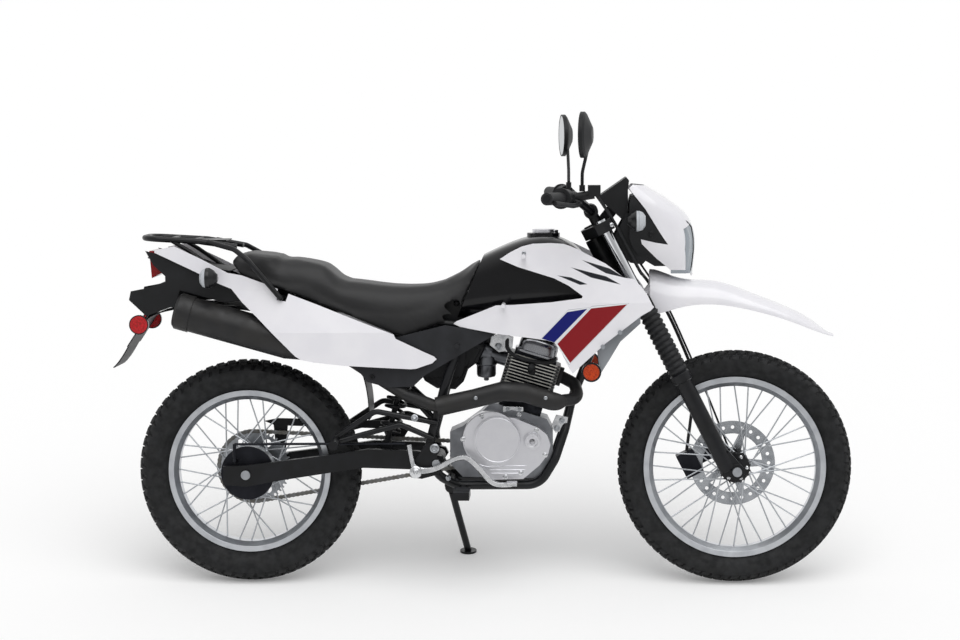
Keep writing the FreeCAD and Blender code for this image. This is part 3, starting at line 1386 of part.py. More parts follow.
def tank_parts():
    sections = []
    for along, floor, crown, half in TANK_STATION_SHARES:
        x = sizes.tank_rear_x + along * sizes.tank_length
        low = sizes.tank_low + floor * sizes.tank_height
        high = sizes.tank_low + crown * sizes.tank_height
        sections.append(round_section(
            [Vector(x, out * half * sizes.tank_half_width, low + up * (high - low))
             for out, up in TANK_SECTION_SHARES]))
    tank = Part.makeLoft(sections, True, False)
    reach = sizes.tank_half_width * 2
    tunnel = slab(TANK_TUNNEL_SHARES, sizes.tank_rear_x, sizes.tank_low, sizes.tank_length,
                  sizes.tank_height, -sizes.tank_tunnel_half_width, sizes.tank_tunnel_half_width)
    behind = slab(SEAT_NOSE_SHARES, sizes.tank_rear_x, sizes.tank_low, sizes.tank_length,
                  sizes.tank_height, -reach, reach).translated(Vector(sizes.running_gap, 0, 0))
    ring_top = sizes.tank_low + sizes.tank_height + sizes.filler_ring_height
    ring = Part.makeCylinder(sizes.filler_ring_radius, sizes.filler_ring_height * 2.5,
                             Vector(sizes.filler_x, 0, ring_top - sizes.filler_ring_height * 2.5),
                             Vector(0, 0, 1))
    bore = Part.makeCylinder(sizes.filler_bore_radius, sizes.filler_depth,
                             Vector(sizes.filler_x, 0, ring_top - sizes.filler_depth),
                             Vector(0, 0, 1))
    hinge_x = sizes.filler_x + sizes.cap_radius + sizes.cap_hinge_radius
    hinge_z = ring_top + sizes.running_gap + sizes.cap_hinge_radius
    ear = Part.makeBox(sizes.cap_hinge_radius * 3, sizes.rim_wall, sizes.cap_hinge_radius * 2.6)
    ears = [ear.translated(Vector(
        hinge_x - sizes.cap_hinge_radius * 0.6,
        way * (sizes.cap_hinge_width / 2 + sizes.running_gap) - (sizes.rim_wall if way < 0 else 0),
        ring_top - sizes.seam_gap)) for way in (-1, 1)]
    pin = Part.makeCylinder(sizes.cap_hinge_radius * 0.45,
                            sizes.cap_hinge_width + sizes.running_gap * 4,
                            Vector(hinge_x, -sizes.cap_hinge_width / 2 - sizes.running_gap * 2,
                                   hinge_z), Vector(0, 1, 0))
    tank = tank.cut(tunnel).cut(behind).cut(lock_room()).fuse(ring).cut(bore)
    tank = tank.multiFuse(ears + [pin])
    node("fuel_tank", feature("fuel_tank", tank))
    cap = Part.makeCylinder(sizes.cap_radius, sizes.cap_thickness,
                            Vector(sizes.filler_x, 0, ring_top + sizes.running_gap),
                            Vector(0, 0, 1))
    plug = Part.makeCylinder(sizes.cap_plug_radius, sizes.cap_plug_depth + sizes.running_gap,
                             Vector(sizes.filler_x, 0, ring_top - sizes.cap_plug_depth),
                             Vector(0, 0, 1))
    knuckle = Part.makeCylinder(sizes.cap_hinge_radius, sizes.cap_hinge_width,
                                Vector(hinge_x, -sizes.cap_hinge_width / 2, hinge_z),
                                Vector(0, 1, 0))
    tongue = Part.makeBox(sizes.cap_hinge_radius * 3, sizes.cap_hinge_width,
                          sizes.cap_hinge_radius,
                          Vector(hinge_x - sizes.cap_hinge_radius * 3, -sizes.cap_hinge_width / 2,
                                 hinge_z))
    hole = Part.makeCylinder(sizes.cap_hinge_radius * 0.45 + sizes.shaft_clearance,
                             sizes.cap_hinge_width * 2,
                             Vector(hinge_x, -sizes.cap_hinge_width, hinge_z), Vector(0, 1, 0))
    cap = cap.multiFuse([plug, knuckle, tongue]).cut(hole)
    node("fuel_cap", feature("fuel_cap", cap))


# The tunnel over the frame's backbone, from the side.
TANK_TUNNEL_SHARES = [(-0.2, -0.1), (-0.2, 0.1), (0.3, 0.33), (0.77, 0.53), (0.9, 0.63), (1.2, 0.82),
                      (1.2, -0.1)]
# The slanted seat front, seen from the side, as shares of the tank's length and height.
SEAT_NOSE_SHARES = [(-0.066, -0.22), (-0.018, -0.1), (0.158, 0.69), (0.27, 1.2), (-0.3, 1.2),
                    (-0.3, -0.22)]

# The seat's stations: along, underside and crown as shares of its box, then its half width.
SEAT_STATION_SHARES = [
    (-0.02, 0.6, 0.98, 0.8), (0.08, 0.55, 0.955, 0.92), (0.22, 0.4, 0.91, 0.99),
    (0.32, 0.32, 0.865, 1), (0.388, 0.28, 0.82, 1), (0.43, 0.25, 0.735, 1), (0.48, 0.22, 0.65, 1),
    (0.56, 0.1, 0.612, 0.99), (0.7, -0.06, 0.578, 0.94), (0.8, 0, 0.585, 0.86),
    (0.88, 0.06, 0.655, 0.78), (0.95, 0.3, 0.775, 0.7), (1.02, 0.5, 0.86, 0.66)]
# A seat section from the right lower edge over the top: shares of half width and of height.
SEAT_SECTION_SHARES = [(-1.04, 0), (-1.03, 0.4), (-0.97, 0.72), (-0.8, 0.92), (-0.42, 0.99), (0, 1),
                       (0.42, 0.99), (0.8, 0.92), (0.97, 0.72), (1.03, 0.4), (1.04, 0)]


def shock_room():
    """The room over the rear spring's upper eye, as wide as the spring and its clearance."""
    low = Vector(sizes.shock_low_x, 0, sizes.shock_low_height)
    high = Vector(sizes.shock_high_x, 0, sizes.shock_high_height)
    run = (high - low).normalize()
    return Part.makeCylinder(sizes.shock_spring_radius + sizes.lock_clearance,
                             (high - low).Length + sizes.shock_spring_radius, low, run)


def seat_part():
    def wire(station):
        along, floor, crown, half = station
        x = sizes.seat_rear_x + along * sizes.seat_length
        low = sizes.seat_low + floor * sizes.seat_height
        high = sizes.seat_low + crown * sizes.seat_height
        points = [Vector(x, out * half * sizes.seat_half_width, low + up * (high - low))
                  for out, up in SEAT_SECTION_SHARES]
        return Part.Wire([spline_edge(points), Part.LineSegment(points[-1], points[0]).toShape()])

    block = Part.makeLoft([wire(station) for station in SEAT_STATION_SHARES], True, False)
    reach = sizes.seat_half_width * 1.3
    block = block.common(slab(SEAT_SIDE_SHARES, sizes.seat_rear_x, sizes.seat_low,
                              sizes.seat_length, sizes.seat_height, -reach, reach))
    inner = sizes.seat_half_width - sizes.seat_skirt_wall
    channel = slab(SEAT_CHANNEL_SHARES, sizes.seat_rear_x, sizes.seat_low, sizes.seat_length,
                   sizes.seat_height, -inner * 0.9, inner * 0.9)
    node("seat", feature("seat", block.cut(channel).cut(shock_room())))


# The hollow under the seat, from the side.
SEAT_CHANNEL_SHARES = [(-0.1, 0.4), (-0.1, 0.72), (0.1, 0.72), (0.34, 0.6), (0.46, 0.44),
                       (0.6, 0.34), (0.8, 0.34), (0.88, 0.4), (0.918, 0.4), (0.915, -0.2), (0.3, -0.2)]

# Plan curves of the mouldings at rising heights: a height share, then (along, out) shares.
SHROUD_LEVEL_SHARES = [
    (-0.02, [(-0.02, 0.52), (0.2, 0.62), (0.5, 0.74), (0.7, 0.82), (1.02, 0.88)]),
    (0.27, [(-0.02, 0.56), (0.2, 0.66), (0.5, 0.77), (0.7, 0.86), (1.02, 0.95)]),
    (0.55, [(-0.02, 0.58), (0.2, 0.67), (0.5, 0.79), (0.7, 0.9), (1.02, 1)]),
    (0.78, [(-0.02, 0.54), (0.2, 0.63), (0.5, 0.73), (0.7, 0.83), (1.02, 0.94)]),
    (1.02, [(-0.02, 0.46), (0.2, 0.54), (0.5, 0.61), (0.7, 0.7), (1.02, 0.84)])]
TAIL_LEVEL_SHARES = [
    (-0.04, [(-0.02, 0.66), (0.2, 0.74), (0.38, 0.93), (0.6, 1), (0.8, 0.98), (1.02, 0.87)]),
    (0.3, [(-0.02, 0.66), (0.2, 0.74), (0.38, 0.96), (0.6, 1.01), (0.8, 0.97), (1.02, 0.86)]),
    (0.64, [(-0.02, 0.66), (0.2, 0.73), (0.38, 0.82), (0.6, 0.83), (0.8, 0.81), (1.02, 0.78)]),
    (1.04, [(-0.02, 0.64), (0.2, 0.7), (0.38, 0.78), (0.6, 0.79), (0.8, 0.78), (1.02, 0.72)])]
SIDE_PANEL_LEVEL_SHARES = [
    (-0.05, [(-0.03, 0.92), (0.3, 0.96), (0.65, 0.96), (1.03, 0.9)]),
    (0.5, [(-0.03, 0.92), (0.3, 0.97), (0.65, 0.98), (1.03, 0.9)]),
    (1.05, [(-0.03, 0.92), (0.3, 0.96), (0.65, 0.95), (1.03, 0.86)])]


def moulding(side_shares, level_shares, x, low, length, height, half_width):
    """A thin right-hand panel: a side outline cut from a wall that follows plan curves."""
    levels = []
    for up, plan in level_shares:
        levels.append((low + up * height,
                       [(x + along * length, -out * half_width) for along, out in plan]))
    wall = curved_band(levels, sizes.panel_wall)
    face = slab(side_shares, x, low, length, height, -half_width * 1.3, 0)
    return wall.common(face)


# Where the mouldings' mounting pins stand, as shares of the wheelbase.
GUIDE_PIN_SHARES = [(0.728, 0.5), (0.762, 0.529)]
SHROUD_PIN_SHARES = [(0.57, 0.679), (0.529, 0.58)]


def panel_parts():
    shroud = moulding(SHROUD_SIDE_SHARES, SHROUD_LEVEL_SHARES, sizes.shroud_rear_x,
                      sizes.shroud_low, sizes.shroud_length, sizes.shroud_height,
                      sizes.shroud_half_width)
    tail = moulding(TAIL_SIDE_SHARES, TAIL_LEVEL_SHARES, sizes.tail_rear_x, sizes.tail_low,
                    sizes.tail_length, sizes.tail_height, sizes.tail_half_width)
    panel = moulding(SIDE_PANEL_SHARES, SIDE_PANEL_LEVEL_SHARES, sizes.side_panel_rear_x,
                     sizes.side_panel_low, sizes.side_panel_length, sizes.side_panel_height,
                     sizes.side_panel_half_width)
    side = indicator_root("rear")
    stalk_x = sizes.rear_indicator_x - sizes.indicator_length * 0.4
    passage = Part.makeCylinder(sizes.indicator_stalk_radius + sizes.seam_gap,
                                sizes.rear_indicator_side,
                                Vector(stalk_x, -side, sizes.rear_indicator_height),
                                Vector(0, -1, 0))
    tail = tail.cut(passage)
    guide = slab(AIR_GUIDE_SHARES, sizes.guide_x, sizes.guide_low, sizes.guide_length,
                 sizes.guide_height, -sizes.guide_side - sizes.panel_wall, -sizes.guide_side)
    tank, out = standing("fuel_tank"), sizes.shroud_half_width
    guide = guide.multiFuse([between(pin_out(along, up, -sizes.guide_side, -out), shroud)
                             for along, up in GUIDE_PIN_SHARES])
    shroud = shroud.multiFuse([between(pin_out(along, up, -sizes.tank_half_width * 0.7, -out * 0.8),
                                       tank, mirrored(tank), shroud)
                               for along, up in SHROUD_PIN_SHARES])
    shroud = shroud.cut(lock_room())
    frame, out = standing("frame"), sizes.side_panel_half_width * 1.2
    panel = panel.multiFuse([between(pin_out(along, up, -inner, -out), frame, panel)
                             for along, up, inner in ((0.436, 0.499, sizes.rail_side * 1.2),
                                                      (0.264, 0.462, sizes.rail_side * 0.7))])
    for name, shape in (("tank_shrouds", shroud), ("tail_covers", tail), ("side_panels", panel),
                        ("air_guides", guide)):
        node(name, feature(name, Part.makeCompound([shape, mirrored(shape)])))


# The plate that holds the brake pedal's pivot, from the side, as shares of the wheelbase.
PEDAL_PLATE_SHARES = [(0.34, 0.23), (0.362, 0.227), (0.396, 0.236), (0.392, 0.3), (0.372, 0.3),
                      (0.342, 0.256)]


# The cradle's rear bend: ahead of the rear axle and above the ground, as shares of the wheelbase.
CRADLE_REAR_SHARES = (0.43, 0.208)


def frame_part():
    """Head tube, backbone, down tube, twin cradle, pivot tubes, seat rails and their ties."""
    radius, bend = sizes.frame_tube_radius, sizes.tube_bend_radius
    low, high = sizes.head_tube_low, sizes.head_tube_high
    head = Part.makeCylinder(sizes.head_tube_radius, high - low, Vector(0, 0, low))
    bore = Part.makeCylinder(sizes.stem_radius + sizes.shaft_clearance,
                             high - low + 2 * sizes.cut_overrun,
                             Vector(0, 0, low - sizes.cut_overrun))
    for shape in (head, bore):
        shape.transformShape(steering.toMatrix())
    head_low = steering.multVec(Vector(0, 0, low + (high - low) * 0.25))
    head_high = steering.multVec(Vector(0, 0, low + (high - low) * 0.5))
    cradle, pivot_side, rail = sizes.cradle_side, sizes.pivot_tube_side, sizes.rail_side
    backbone = tube([head_high, spot(0.66, 0, 0.612), spot(0.53, 0, 0.572), spot(0.448, 0, 0.536)],
                    sizes.backbone_radius, bend)
    down = tube([head_low, spot(0.68, 0, 0.413), spot(0.664, 0, 0.375)], radius, bend)
    ties = [Part.makeCylinder(radius, 2 * rail, spot(0.448, -rail, 0.536), Vector(0, 1, 0)),
            Part.makeCylinder(radius, 2 * cradle, spot(0.415, -cradle, 0.208), Vector(0, 1, 0)),
            Part.makeCylinder(sizes.rail_radius, 2 * rail, spot(0.09, -rail, 0.594),
                              Vector(0, 1, 0)),
            Part.makeCylinder(sizes.rail_radius, 2 * rail, spot(-0.1, -rail, 0.638),
                              Vector(0, 1, 0)),
            tube([spot(0.35, -rail, 0.552), spot(0.345, -rail * 0.6, 0.512),
                  spot(0.345, rail * 0.6, 0.512), spot(0.35, rail, 0.552)], radius * 0.9, bend * 0.3)]
    rear_along, rear_up = CRADLE_REAR_SHARES
    sides = []
    for way in (-1, 1):
        sides.append(tube([spot(0.668, 0, 0.385), spot(0.652, way * cradle * 0.7, 0.32),
                           spot(0.632, way * cradle, 0.262), spot(0.6, way * cradle, 0.209),
                           spot(rear_along, way * cradle, rear_up), spot(0.39, way * pivot_side, 0.235),
                           spot(0.378, way * pivot_side, 0.3), spot(0.408, way * pivot_side, 0.411),
                           spot(0.434, way * pivot_side * 0.94, 0.49),
                           spot(0.448, way * rail, 0.536)], radius, bend))
        sides.append(tube([spot(0.448, way * rail, 0.536), spot(0.31, way * rail, 0.552),
                           spot(0.147, way * rail, 0.58), spot(0, way * rail, 0.613),
                           spot(-0.136, way * rail, 0.648)], sizes.rail_radius, bend))
        sides.append(tube([spot(0.388, way * pivot_side, 0.345), spot(0.355, way * rail * 0.8, 0.375),
                           spot(0.139, way * rail * 0.86, 0.582)], sizes.rail_radius * 0.9, bend))
    face = pivot_side + radius
    plate = slab(PEDAL_PLATE_SHARES, 0, 0, sizes.wheelbase, sizes.wheelbase,
                 -face + sizes.rim_wall, -face - sizes.rim_wall)
    frame = head.multiFuse([backbone, down, plate] + ties + sides + stand_bracket_solids())
    bolt = Part.makeCylinder(sizes.pivot_bolt_radius + sizes.shaft_clearance, pivot_side * 4,
                             Vector(sizes.pivot_x, -pivot_side * 2, sizes.pivot_height),
                             Vector(0, 1, 0))
    frame = frame.cut(bore).cut(bolt)
    node("frame", feature("frame", frame))


def swingarm_part():
    """Two arms with a bored pivot tube between them and a brace ahead of the tyre."""
    arms = body("swingarm")
    arms.AllowCompound = True
    left = "-arm_inner_side - arm_width"
    plan = [
        (f"rear_axle_radius * {along}", f"rear_tyre_radius + rear_axle_radius * {up}")
        for along, up in ARM_SHARES]
    for offset in ("arm_inner_side", left):
        pad(arms, outline(arms, "XZ_Plane", plan, offset), "arm_width")
    tube_round = circles(arms, "XZ_Plane", [("pivot_x", "pivot_height", "pivot_radius")],
                         "-arm_inner_side + rim_wall * 6")
    pad(arms, tube_round, "arm_inner_side * 2 - rim_wall * 6")
    brace = outline(arms, "XZ_Plane", [
        ("arm_brace_x", "arm_brace_height - arm_brace_rise * 0.5"),
        ("arm_brace_x + arm_brace_length", "arm_brace_height - arm_brace_rise * 0.5"),
        ("arm_brace_x + arm_brace_length", "arm_brace_height + arm_brace_rise * 0.5"),
        ("arm_brace_x", "arm_brace_height + arm_brace_rise * 0.5")], "-arm_inner_side")
    pad(arms, brace, "arm_inner_side * 2")
    holes = circles(arms, "XZ_Plane", [
        ("pivot_x", "pivot_height", "pivot_bolt_radius + shaft_clearance"),
        ("0", "rear_tyre_radius", "rear_axle_radius + shaft_clearance")])
    pocket(arms, holes, "arm_inner_side * 4", symmetric=True)
    node("swingarm", arms)
    out = sizes.pivot_tube_side + sizes.frame_tube_radius + sizes.seam_gap
    bolt = Part.makeCylinder(sizes.pivot_bolt_radius, 2 * out + 2 * sizes.axle_nut_width,
                             Vector(sizes.pivot_x, -out - sizes.axle_nut_width,
                                    sizes.pivot_height), Vector(0, 1, 0))
    return bolt


# The swingarm's side outline about the rear axle, in axle radii.
ARM_SHARES = [(-8, -3.6), (-8, 2.9), (0, 3.2), (25, 6.4), (43, 9), (60, 8.4), (68.5, 6.6),
              (69.5, 4.6), (68, 2.4), (64, 1.8), (41, 2.5), (31, 1), (12, -2), (0, -4.2)]


def shock_part():
    """The rear spring over its damper: a coil of straight wire turns, body, rod and eyes."""
    low = Vector(sizes.shock_low_x, 0, sizes.shock_low_height)
    high = Vector(sizes.shock_high_x, 0, sizes.shock_high_height)
    length = (high - low).Length
    rod = Part.makeCylinder(sizes.shock_rod_radius, length)
    shell = Part.makeCylinder(sizes.shock_body_radius, length * 0.42, Vector(0, 0, length * 0.52))
    seats = [Part.makeCylinder(sizes.shock_spring_radius, sizes.rim_wall, Vector(0, 0, length * up))
             for up in (0.14, 0.84)]
    rise = length * 0.7 - sizes.shock_wire_radius * 2
    helix = Part.makeHelix(rise / sizes.shock_turns, rise,
                           sizes.shock_spring_radius - sizes.shock_wire_radius)
    start = Vector(sizes.shock_spring_radius - sizes.shock_wire_radius, 0, 0)
    circle = Part.Wire(Part.Circle(start, Vector(0, 1, 0), sizes.shock_wire_radius).toShape())
    coil = Part.Wire(helix).makePipeShell([circle], True, True)
    coil.translate(Vector(0, 0, length * 0.14 + sizes.rim_wall + sizes.shock_wire_radius * 0.4))
    eyes = [Part.makeCylinder(sizes.shock_body_radius * 0.8, sizes.shock_spring_radius,
                              Vector(0, -sizes.shock_spring_radius / 2, up * length),
                              Vector(0, 1, 0)) for up in (0, 1)]
    unit = rod.multiFuse([shell] + seats + eyes + [coil])
    tilt = Rotation(Vector(0, 0, 1), high - low)
    node("rear_shock", feature("rear_shock", unit), Placement(low, tilt))


def engine_parts():
    case = body("crankcase")
    right, left = "case_right_side", "case_left_side"
    plan = [(f"case_rear_x + case_length * {along}", f"case_low + case_height * {up}")
            for along, up in CASE_SHARES]
    pad(case, outline(case, "XZ_Plane", plan, f"-{left}"), f"{left} + {right} * 0.8")
    tilt = Placement(Vector(sizes.cylinder_foot_x, 0, sizes.cylinder_foot_height),
                     Rotation(Vector(0, 1, 0), sizes.cylinder_tilt))
    barrel = body("cylinder")
    half, wide = "barrel_half_length", "barrel_half_width"
    pad(barrel, outline(barrel, "XY_Plane", [
        (f"-{half}", f"-{wide}"), (half, f"-{wide}"), (half, wide), (f"-{half}", wide)],
        "seam_gap"), "head_top - seam_gap * 2")
    half, wide = "fin_half_length", "fin_half_width"
    fin = outline(barrel, "XY_Plane", [
        (f"-{half} * 0.86", f"-{wide}"), (f"{half} * 0.86", f"-{wide}"), (half, f"-{wide} * 0.8"),
        (half, f"{wide} * 0.8"), (f"{half} * 0.86", wide), (f"-{half} * 0.86", wide),
        (f"-{half}", f"{wide} * 0.8"), (f"-{half}", f"-{wide} * 0.8")], "fin_start")
    fins = pad(barrel, fin, "fin_thickness")
    doc.recompute()
    row = barrel.newObject("PartDesign::LinearPattern", "fin_row")
    row.Originals = [fins]
    row.Direction = (fin, ["N_Axis"])
    bind(row, "Length", "fin_pitch * (fin_count - 1)")
    bind(row, "Occurrences", "fin_count")
    barrel.Tip = row
    node("cylinder", barrel, tilt)

    cover = body("head_cover")
    half, wide = "head_cover_half_length", "head_cover_half_width"
    pad(cover, outline(cover, "XY_Plane", [
        (f"-{half}", f"-{wide} * 0.7"), (f"-{half} * 0.7", f"-{wide}"), (f"{half} * 0.7", f"-{wide}"),
        (half, f"-{wide} * 0.7"), (half, f"{wide} * 0.7"), (f"{half} * 0.7", wide),
        (f"-{half} * 0.7", wide), (f"-{half}", f"{wide} * 0.7")], "head_top"), "head_cover_height")
    doc.recompute()
    cover_top = sizes.head_top + sizes.head_cover_height
    round_edges(cover, lambda edge: edge.BoundBox.ZMin > cover_top - sizes.seam_gap,
                "head_cover_round")
    node("head_cover", cover, tilt)

    clutch = body("clutch_cover")
    base, raised = f"{right} * 0.8 + seam_gap", f"{right} * 0.8 + seam_gap + cover_thickness"
    plan = [(f"case_rear_x + case_length * {along}", f"case_low + case_height * {up}")
            for along, up in CLUTCH_COVER_SHARES]
    pad(clutch, outline(clutch, "XZ_Plane", plan, base), "cover_thickness")
    ring = circles(clutch, "XZ_Plane", [
        ("clutch_x - clutch_ring_shift", "clutch_height", "clutch_ring_radius")], base)
    pad(clutch, ring, "cover_thickness + clutch_rise * 0.35")
    disc = circles(clutch, "XZ_Plane", [("clutch_x", "clutch_height", "clutch_radius")], base)
    pad(clutch, disc, "cover_thickness + clutch_rise")
    cap = circles(clutch, "XZ_Plane", [("crank_cap_x", "crank_cap_height", "crank_cap_radius")], base)
    pad(clutch, cap, "cover_thickness + clutch_rise * 0.5")
    node("clutch_cover", clutch)

    generator = body("generator_cover")
    side = f"-{left} - seam_gap"
    dome = circles(generator, "XZ_Plane", [
        ("crank_cap_x - crank_cap_radius", "crank_cap_height - crank_cap_radius * 0.4",
         "generator_radius")], side)
    pad(generator, dome, "generator_thickness", reverse=True)
    doc.recompute()
    dome_face = sizes.case_left_side + sizes.generator_thickness
    round_edges(generator, lambda edge: edge.BoundBox.YMin > dome_face, "head_cover_round")

    sprocket_cover = body("sprocket_cover")
    guard = circles(sprocket_cover, "XZ_Plane", [
        ("front_sprocket_x", "front_sprocket_height", "sprocket_cover_radius")],
        "-chain_side - chain_width * 0.5 - running_gap * 3")
    pad(sprocket_cover, guard, "sprocket_cover_thickness", reverse=True)
    low = "front_sprocket_height - sprocket_cover_radius * 0.78"
    back = outline(sprocket_cover, "XZ_Plane", [
        ("front_sprocket_x - sprocket_cover_radius * 2", "front_sprocket_height - case_height"),
        ("front_sprocket_x + sprocket_cover_radius * 2", "front_sprocket_height - case_height"),
        ("front_sprocket_x + sprocket_cover_radius * 2", low), ("pivot_x + arm_width * 2", low),
        ("pivot_x + arm_width * 2", "front_sprocket_height + case_height"),
        ("front_sprocket_x - sprocket_cover_radius * 2", "front_sprocket_height + case_height")])
    pocket(sprocket_cover, back, "case_length * 2", symmetric=True)
    doc.recompute()
    stud = Part.makeCylinder(
        sizes.stem_radius * 0.6, sizes.chain_side + sizes.chain_width - sizes.case_left_side,
        Vector(sizes.front_sprocket_x + sizes.sprocket_cover_radius * 0.88,
               sizes.case_left_side + sizes.seam_gap, sizes.front_sprocket_height),
        Vector(0, 1, 0))
    left_covers = Part.makeCompound([generator.Shape, sprocket_cover.Shape.fuse(stud)])
    node("left_covers", feature("left_covers", left_covers))
    generator.Visibility = sprocket_cover.Visibility = False

    wheel = toothed_wheel(sizes.front_sprocket_teeth, sizes.sprocket_thickness,
                          sizes.front_axle_radius - sizes.shaft_clearance,
                          sizes.chain_side - sizes.sprocket_thickness / 2)
    shaft = Part.makeCylinder(
        sizes.front_axle_radius, sizes.chain_side + sizes.sprocket_thickness,
        Vector(0, 0, 0), Vector(0, 1, 0))
    drive = wheel.fuse(shaft)
    drive.translate(Vector(sizes.front_sprocket_x, 0, sizes.front_sprocket_height))
    node("crankcase", feature("crankcase_with_sprocket", case.Shape.fuse(drive)))
    case.Visibility = False

    box = body("airbox")
    plan = [("airbox_rear_x", "airbox_low"),
            ("airbox_rear_x + airbox_length * 0.9", "airbox_low"),
            ("airbox_rear_x + airbox_length", "airbox_low + airbox_height * 0.3"),
            ("airbox_rear_x + airbox_length", "airbox_low + airbox_height * 0.86"),
            ("airbox_rear_x + airbox_length * 0.5", "airbox_low + airbox_height"),
            ("airbox_rear_x", "airbox_low + airbox_height * 0.9")]
    pad(box, outline(box, "XZ_Plane", plan, "-airbox_half_width"), "airbox_half_width * 2")
    doc.recompute()
    pins = [between(pin_out(0.436, 0.499, way * sizes.airbox_half_width, way * sizes.rail_side * 1.3),
                    standing("frame")) for way in (-1, 1)]
    box.Visibility = False
    node("airbox", feature("airbox_with_pins", box.Shape.multiFuse(pins)))

    carburettor = body("carburettor")
    radius, length = "carburettor_radius", "carburettor_length"
    revolution(carburettor, outline(carburettor, "XZ_Plane", [
        (f"-{length} * 0.5", "0"), (f"-{length} * 0.5", radius), (f"-{length} * 0.2", radius),
        (f"-{length} * 0.2", f"{radius} * 1.25"), (f"{length} * 0.15", f"{radius} * 1.25"),
        (f"{length} * 0.15", f"{radius} * 0.85"), (f"{length} * 0.5", f"{radius} * 0.85"),
        (f"{length} * 0.5", "0")]), "H_Axis")
    doc.recompute()
    reach = sizes.fin_half_length + sizes.seam_gap + sizes.carburettor_length / 2
    throat = carburettor.Shape.copy()
    throat.Placement = tilt * place(-reach, 0, sizes.carburettor_level)
    carburettor.Visibility = False
    node("carburettor", feature("carburettor_in_place", throat.cut(standing("airbox"))))


def pin_out(along, up, side_from, side_to):
    """A mounting pin across the machine, at shares of the wheelbase."""
    return cylinder_between(spot(along, side_from, up), spot(along, side_to, up),
                            sizes.stem_radius * 0.45)


def round_edges(piece, wanted, radius):
    """Round the edges of a body's tip that a test picks out."""
    before = piece.Tip
    chosen = [f"Edge{number}" for number, edge in enumerate(before.Shape.Edges, 1)
              if wanted(edge)]
    fillet = piece.newObject("PartDesign::Fillet", piece.Name + "_fillet")
    fillet.Base = (before, chosen)
    bind(fillet, "Radius", radius)
    piece.Tip = fillet
    return fillet


# Side outlines of the crankcase and of its right cover, as shares of the case's length and height.
CASE_SHARES = [(0.02, 0.25), (0.14, 0.06), (0.86, 0.04), (1, 0.3), (1, 0.72), (0.946, 0.882),
               (0.42, 1.12), (0.3, 0.95), (0.14, 0.78), (0.02, 0.7)]
CLUTCH_COVER_SHARES = [(0.27, 0.25), (0.34, 0.1), (0.44, 0.05), (0.72, 0.06), (0.88, 0.26),
                       (0.96, 0.42), (0.98, 0.54), (0.95, 0.68), (0.87, 0.78), (0.64, 0.92),
                       (0.45, 0.95), (0.3, 0.8)]


def exhaust_points():
    """The header's route, from the cylinder's front round the down tube to the muffler."""
    start = exhaust_port(sizes.axle_nut_width * 1.3)
    return [start, spot(0.672, -sizes.header_radius * 2.6, 0.414),
            spot(0.68, -sizes.muffler_side * 0.95, 0.388),
            spot(0.631, -sizes.muffler_side * 1.38, 0.386),
            spot(0.572, -sizes.muffler_side * 1.45, 0.405),
            spot(0.528, -sizes.muffler_side * 1.44, 0.408),
            spot(0.47, -sizes.muffler_side * 1.4, 0.393),
            spot(0.394, -sizes.muffler_side * 1.44, 0.376),
            spot(0.33, -sizes.muffler_side * 1.12, 0.397),
            spot(0.262, -sizes.muffler_side * 0.97, 0.438), muffler_mouth(sizes.header_bend_radius),
            muffler_mouth(0)]


def exhaust_port(ahead):
    """A point in front of the cylinder's exhaust port, a distance ahead of the fins."""
    tilt = Placement(Vector(sizes.cylinder_foot_x, 0, sizes.cylinder_foot_height),
                     Rotation(Vector(0, 1, 0), sizes.cylinder_tilt))
    return tilt.multVec(Vector(sizes.fin_half_length + sizes.seam_gap + ahead,
                               -sizes.header_flange_radius * 0.4, sizes.head_top * 0.75))


def muffler_place():
    return Placement(Vector(sizes.muffler_rear_x, -sizes.muffler_side, sizes.muffler_rear_height),
                     Rotation(Vector(0, 1, 0), sizes.muffler_droop))


def muffler_mouth(ahead):
    return muffler_place().multVec(Vector(sizes.muffler_length - sizes.rim_wall + ahead, 0, 0))


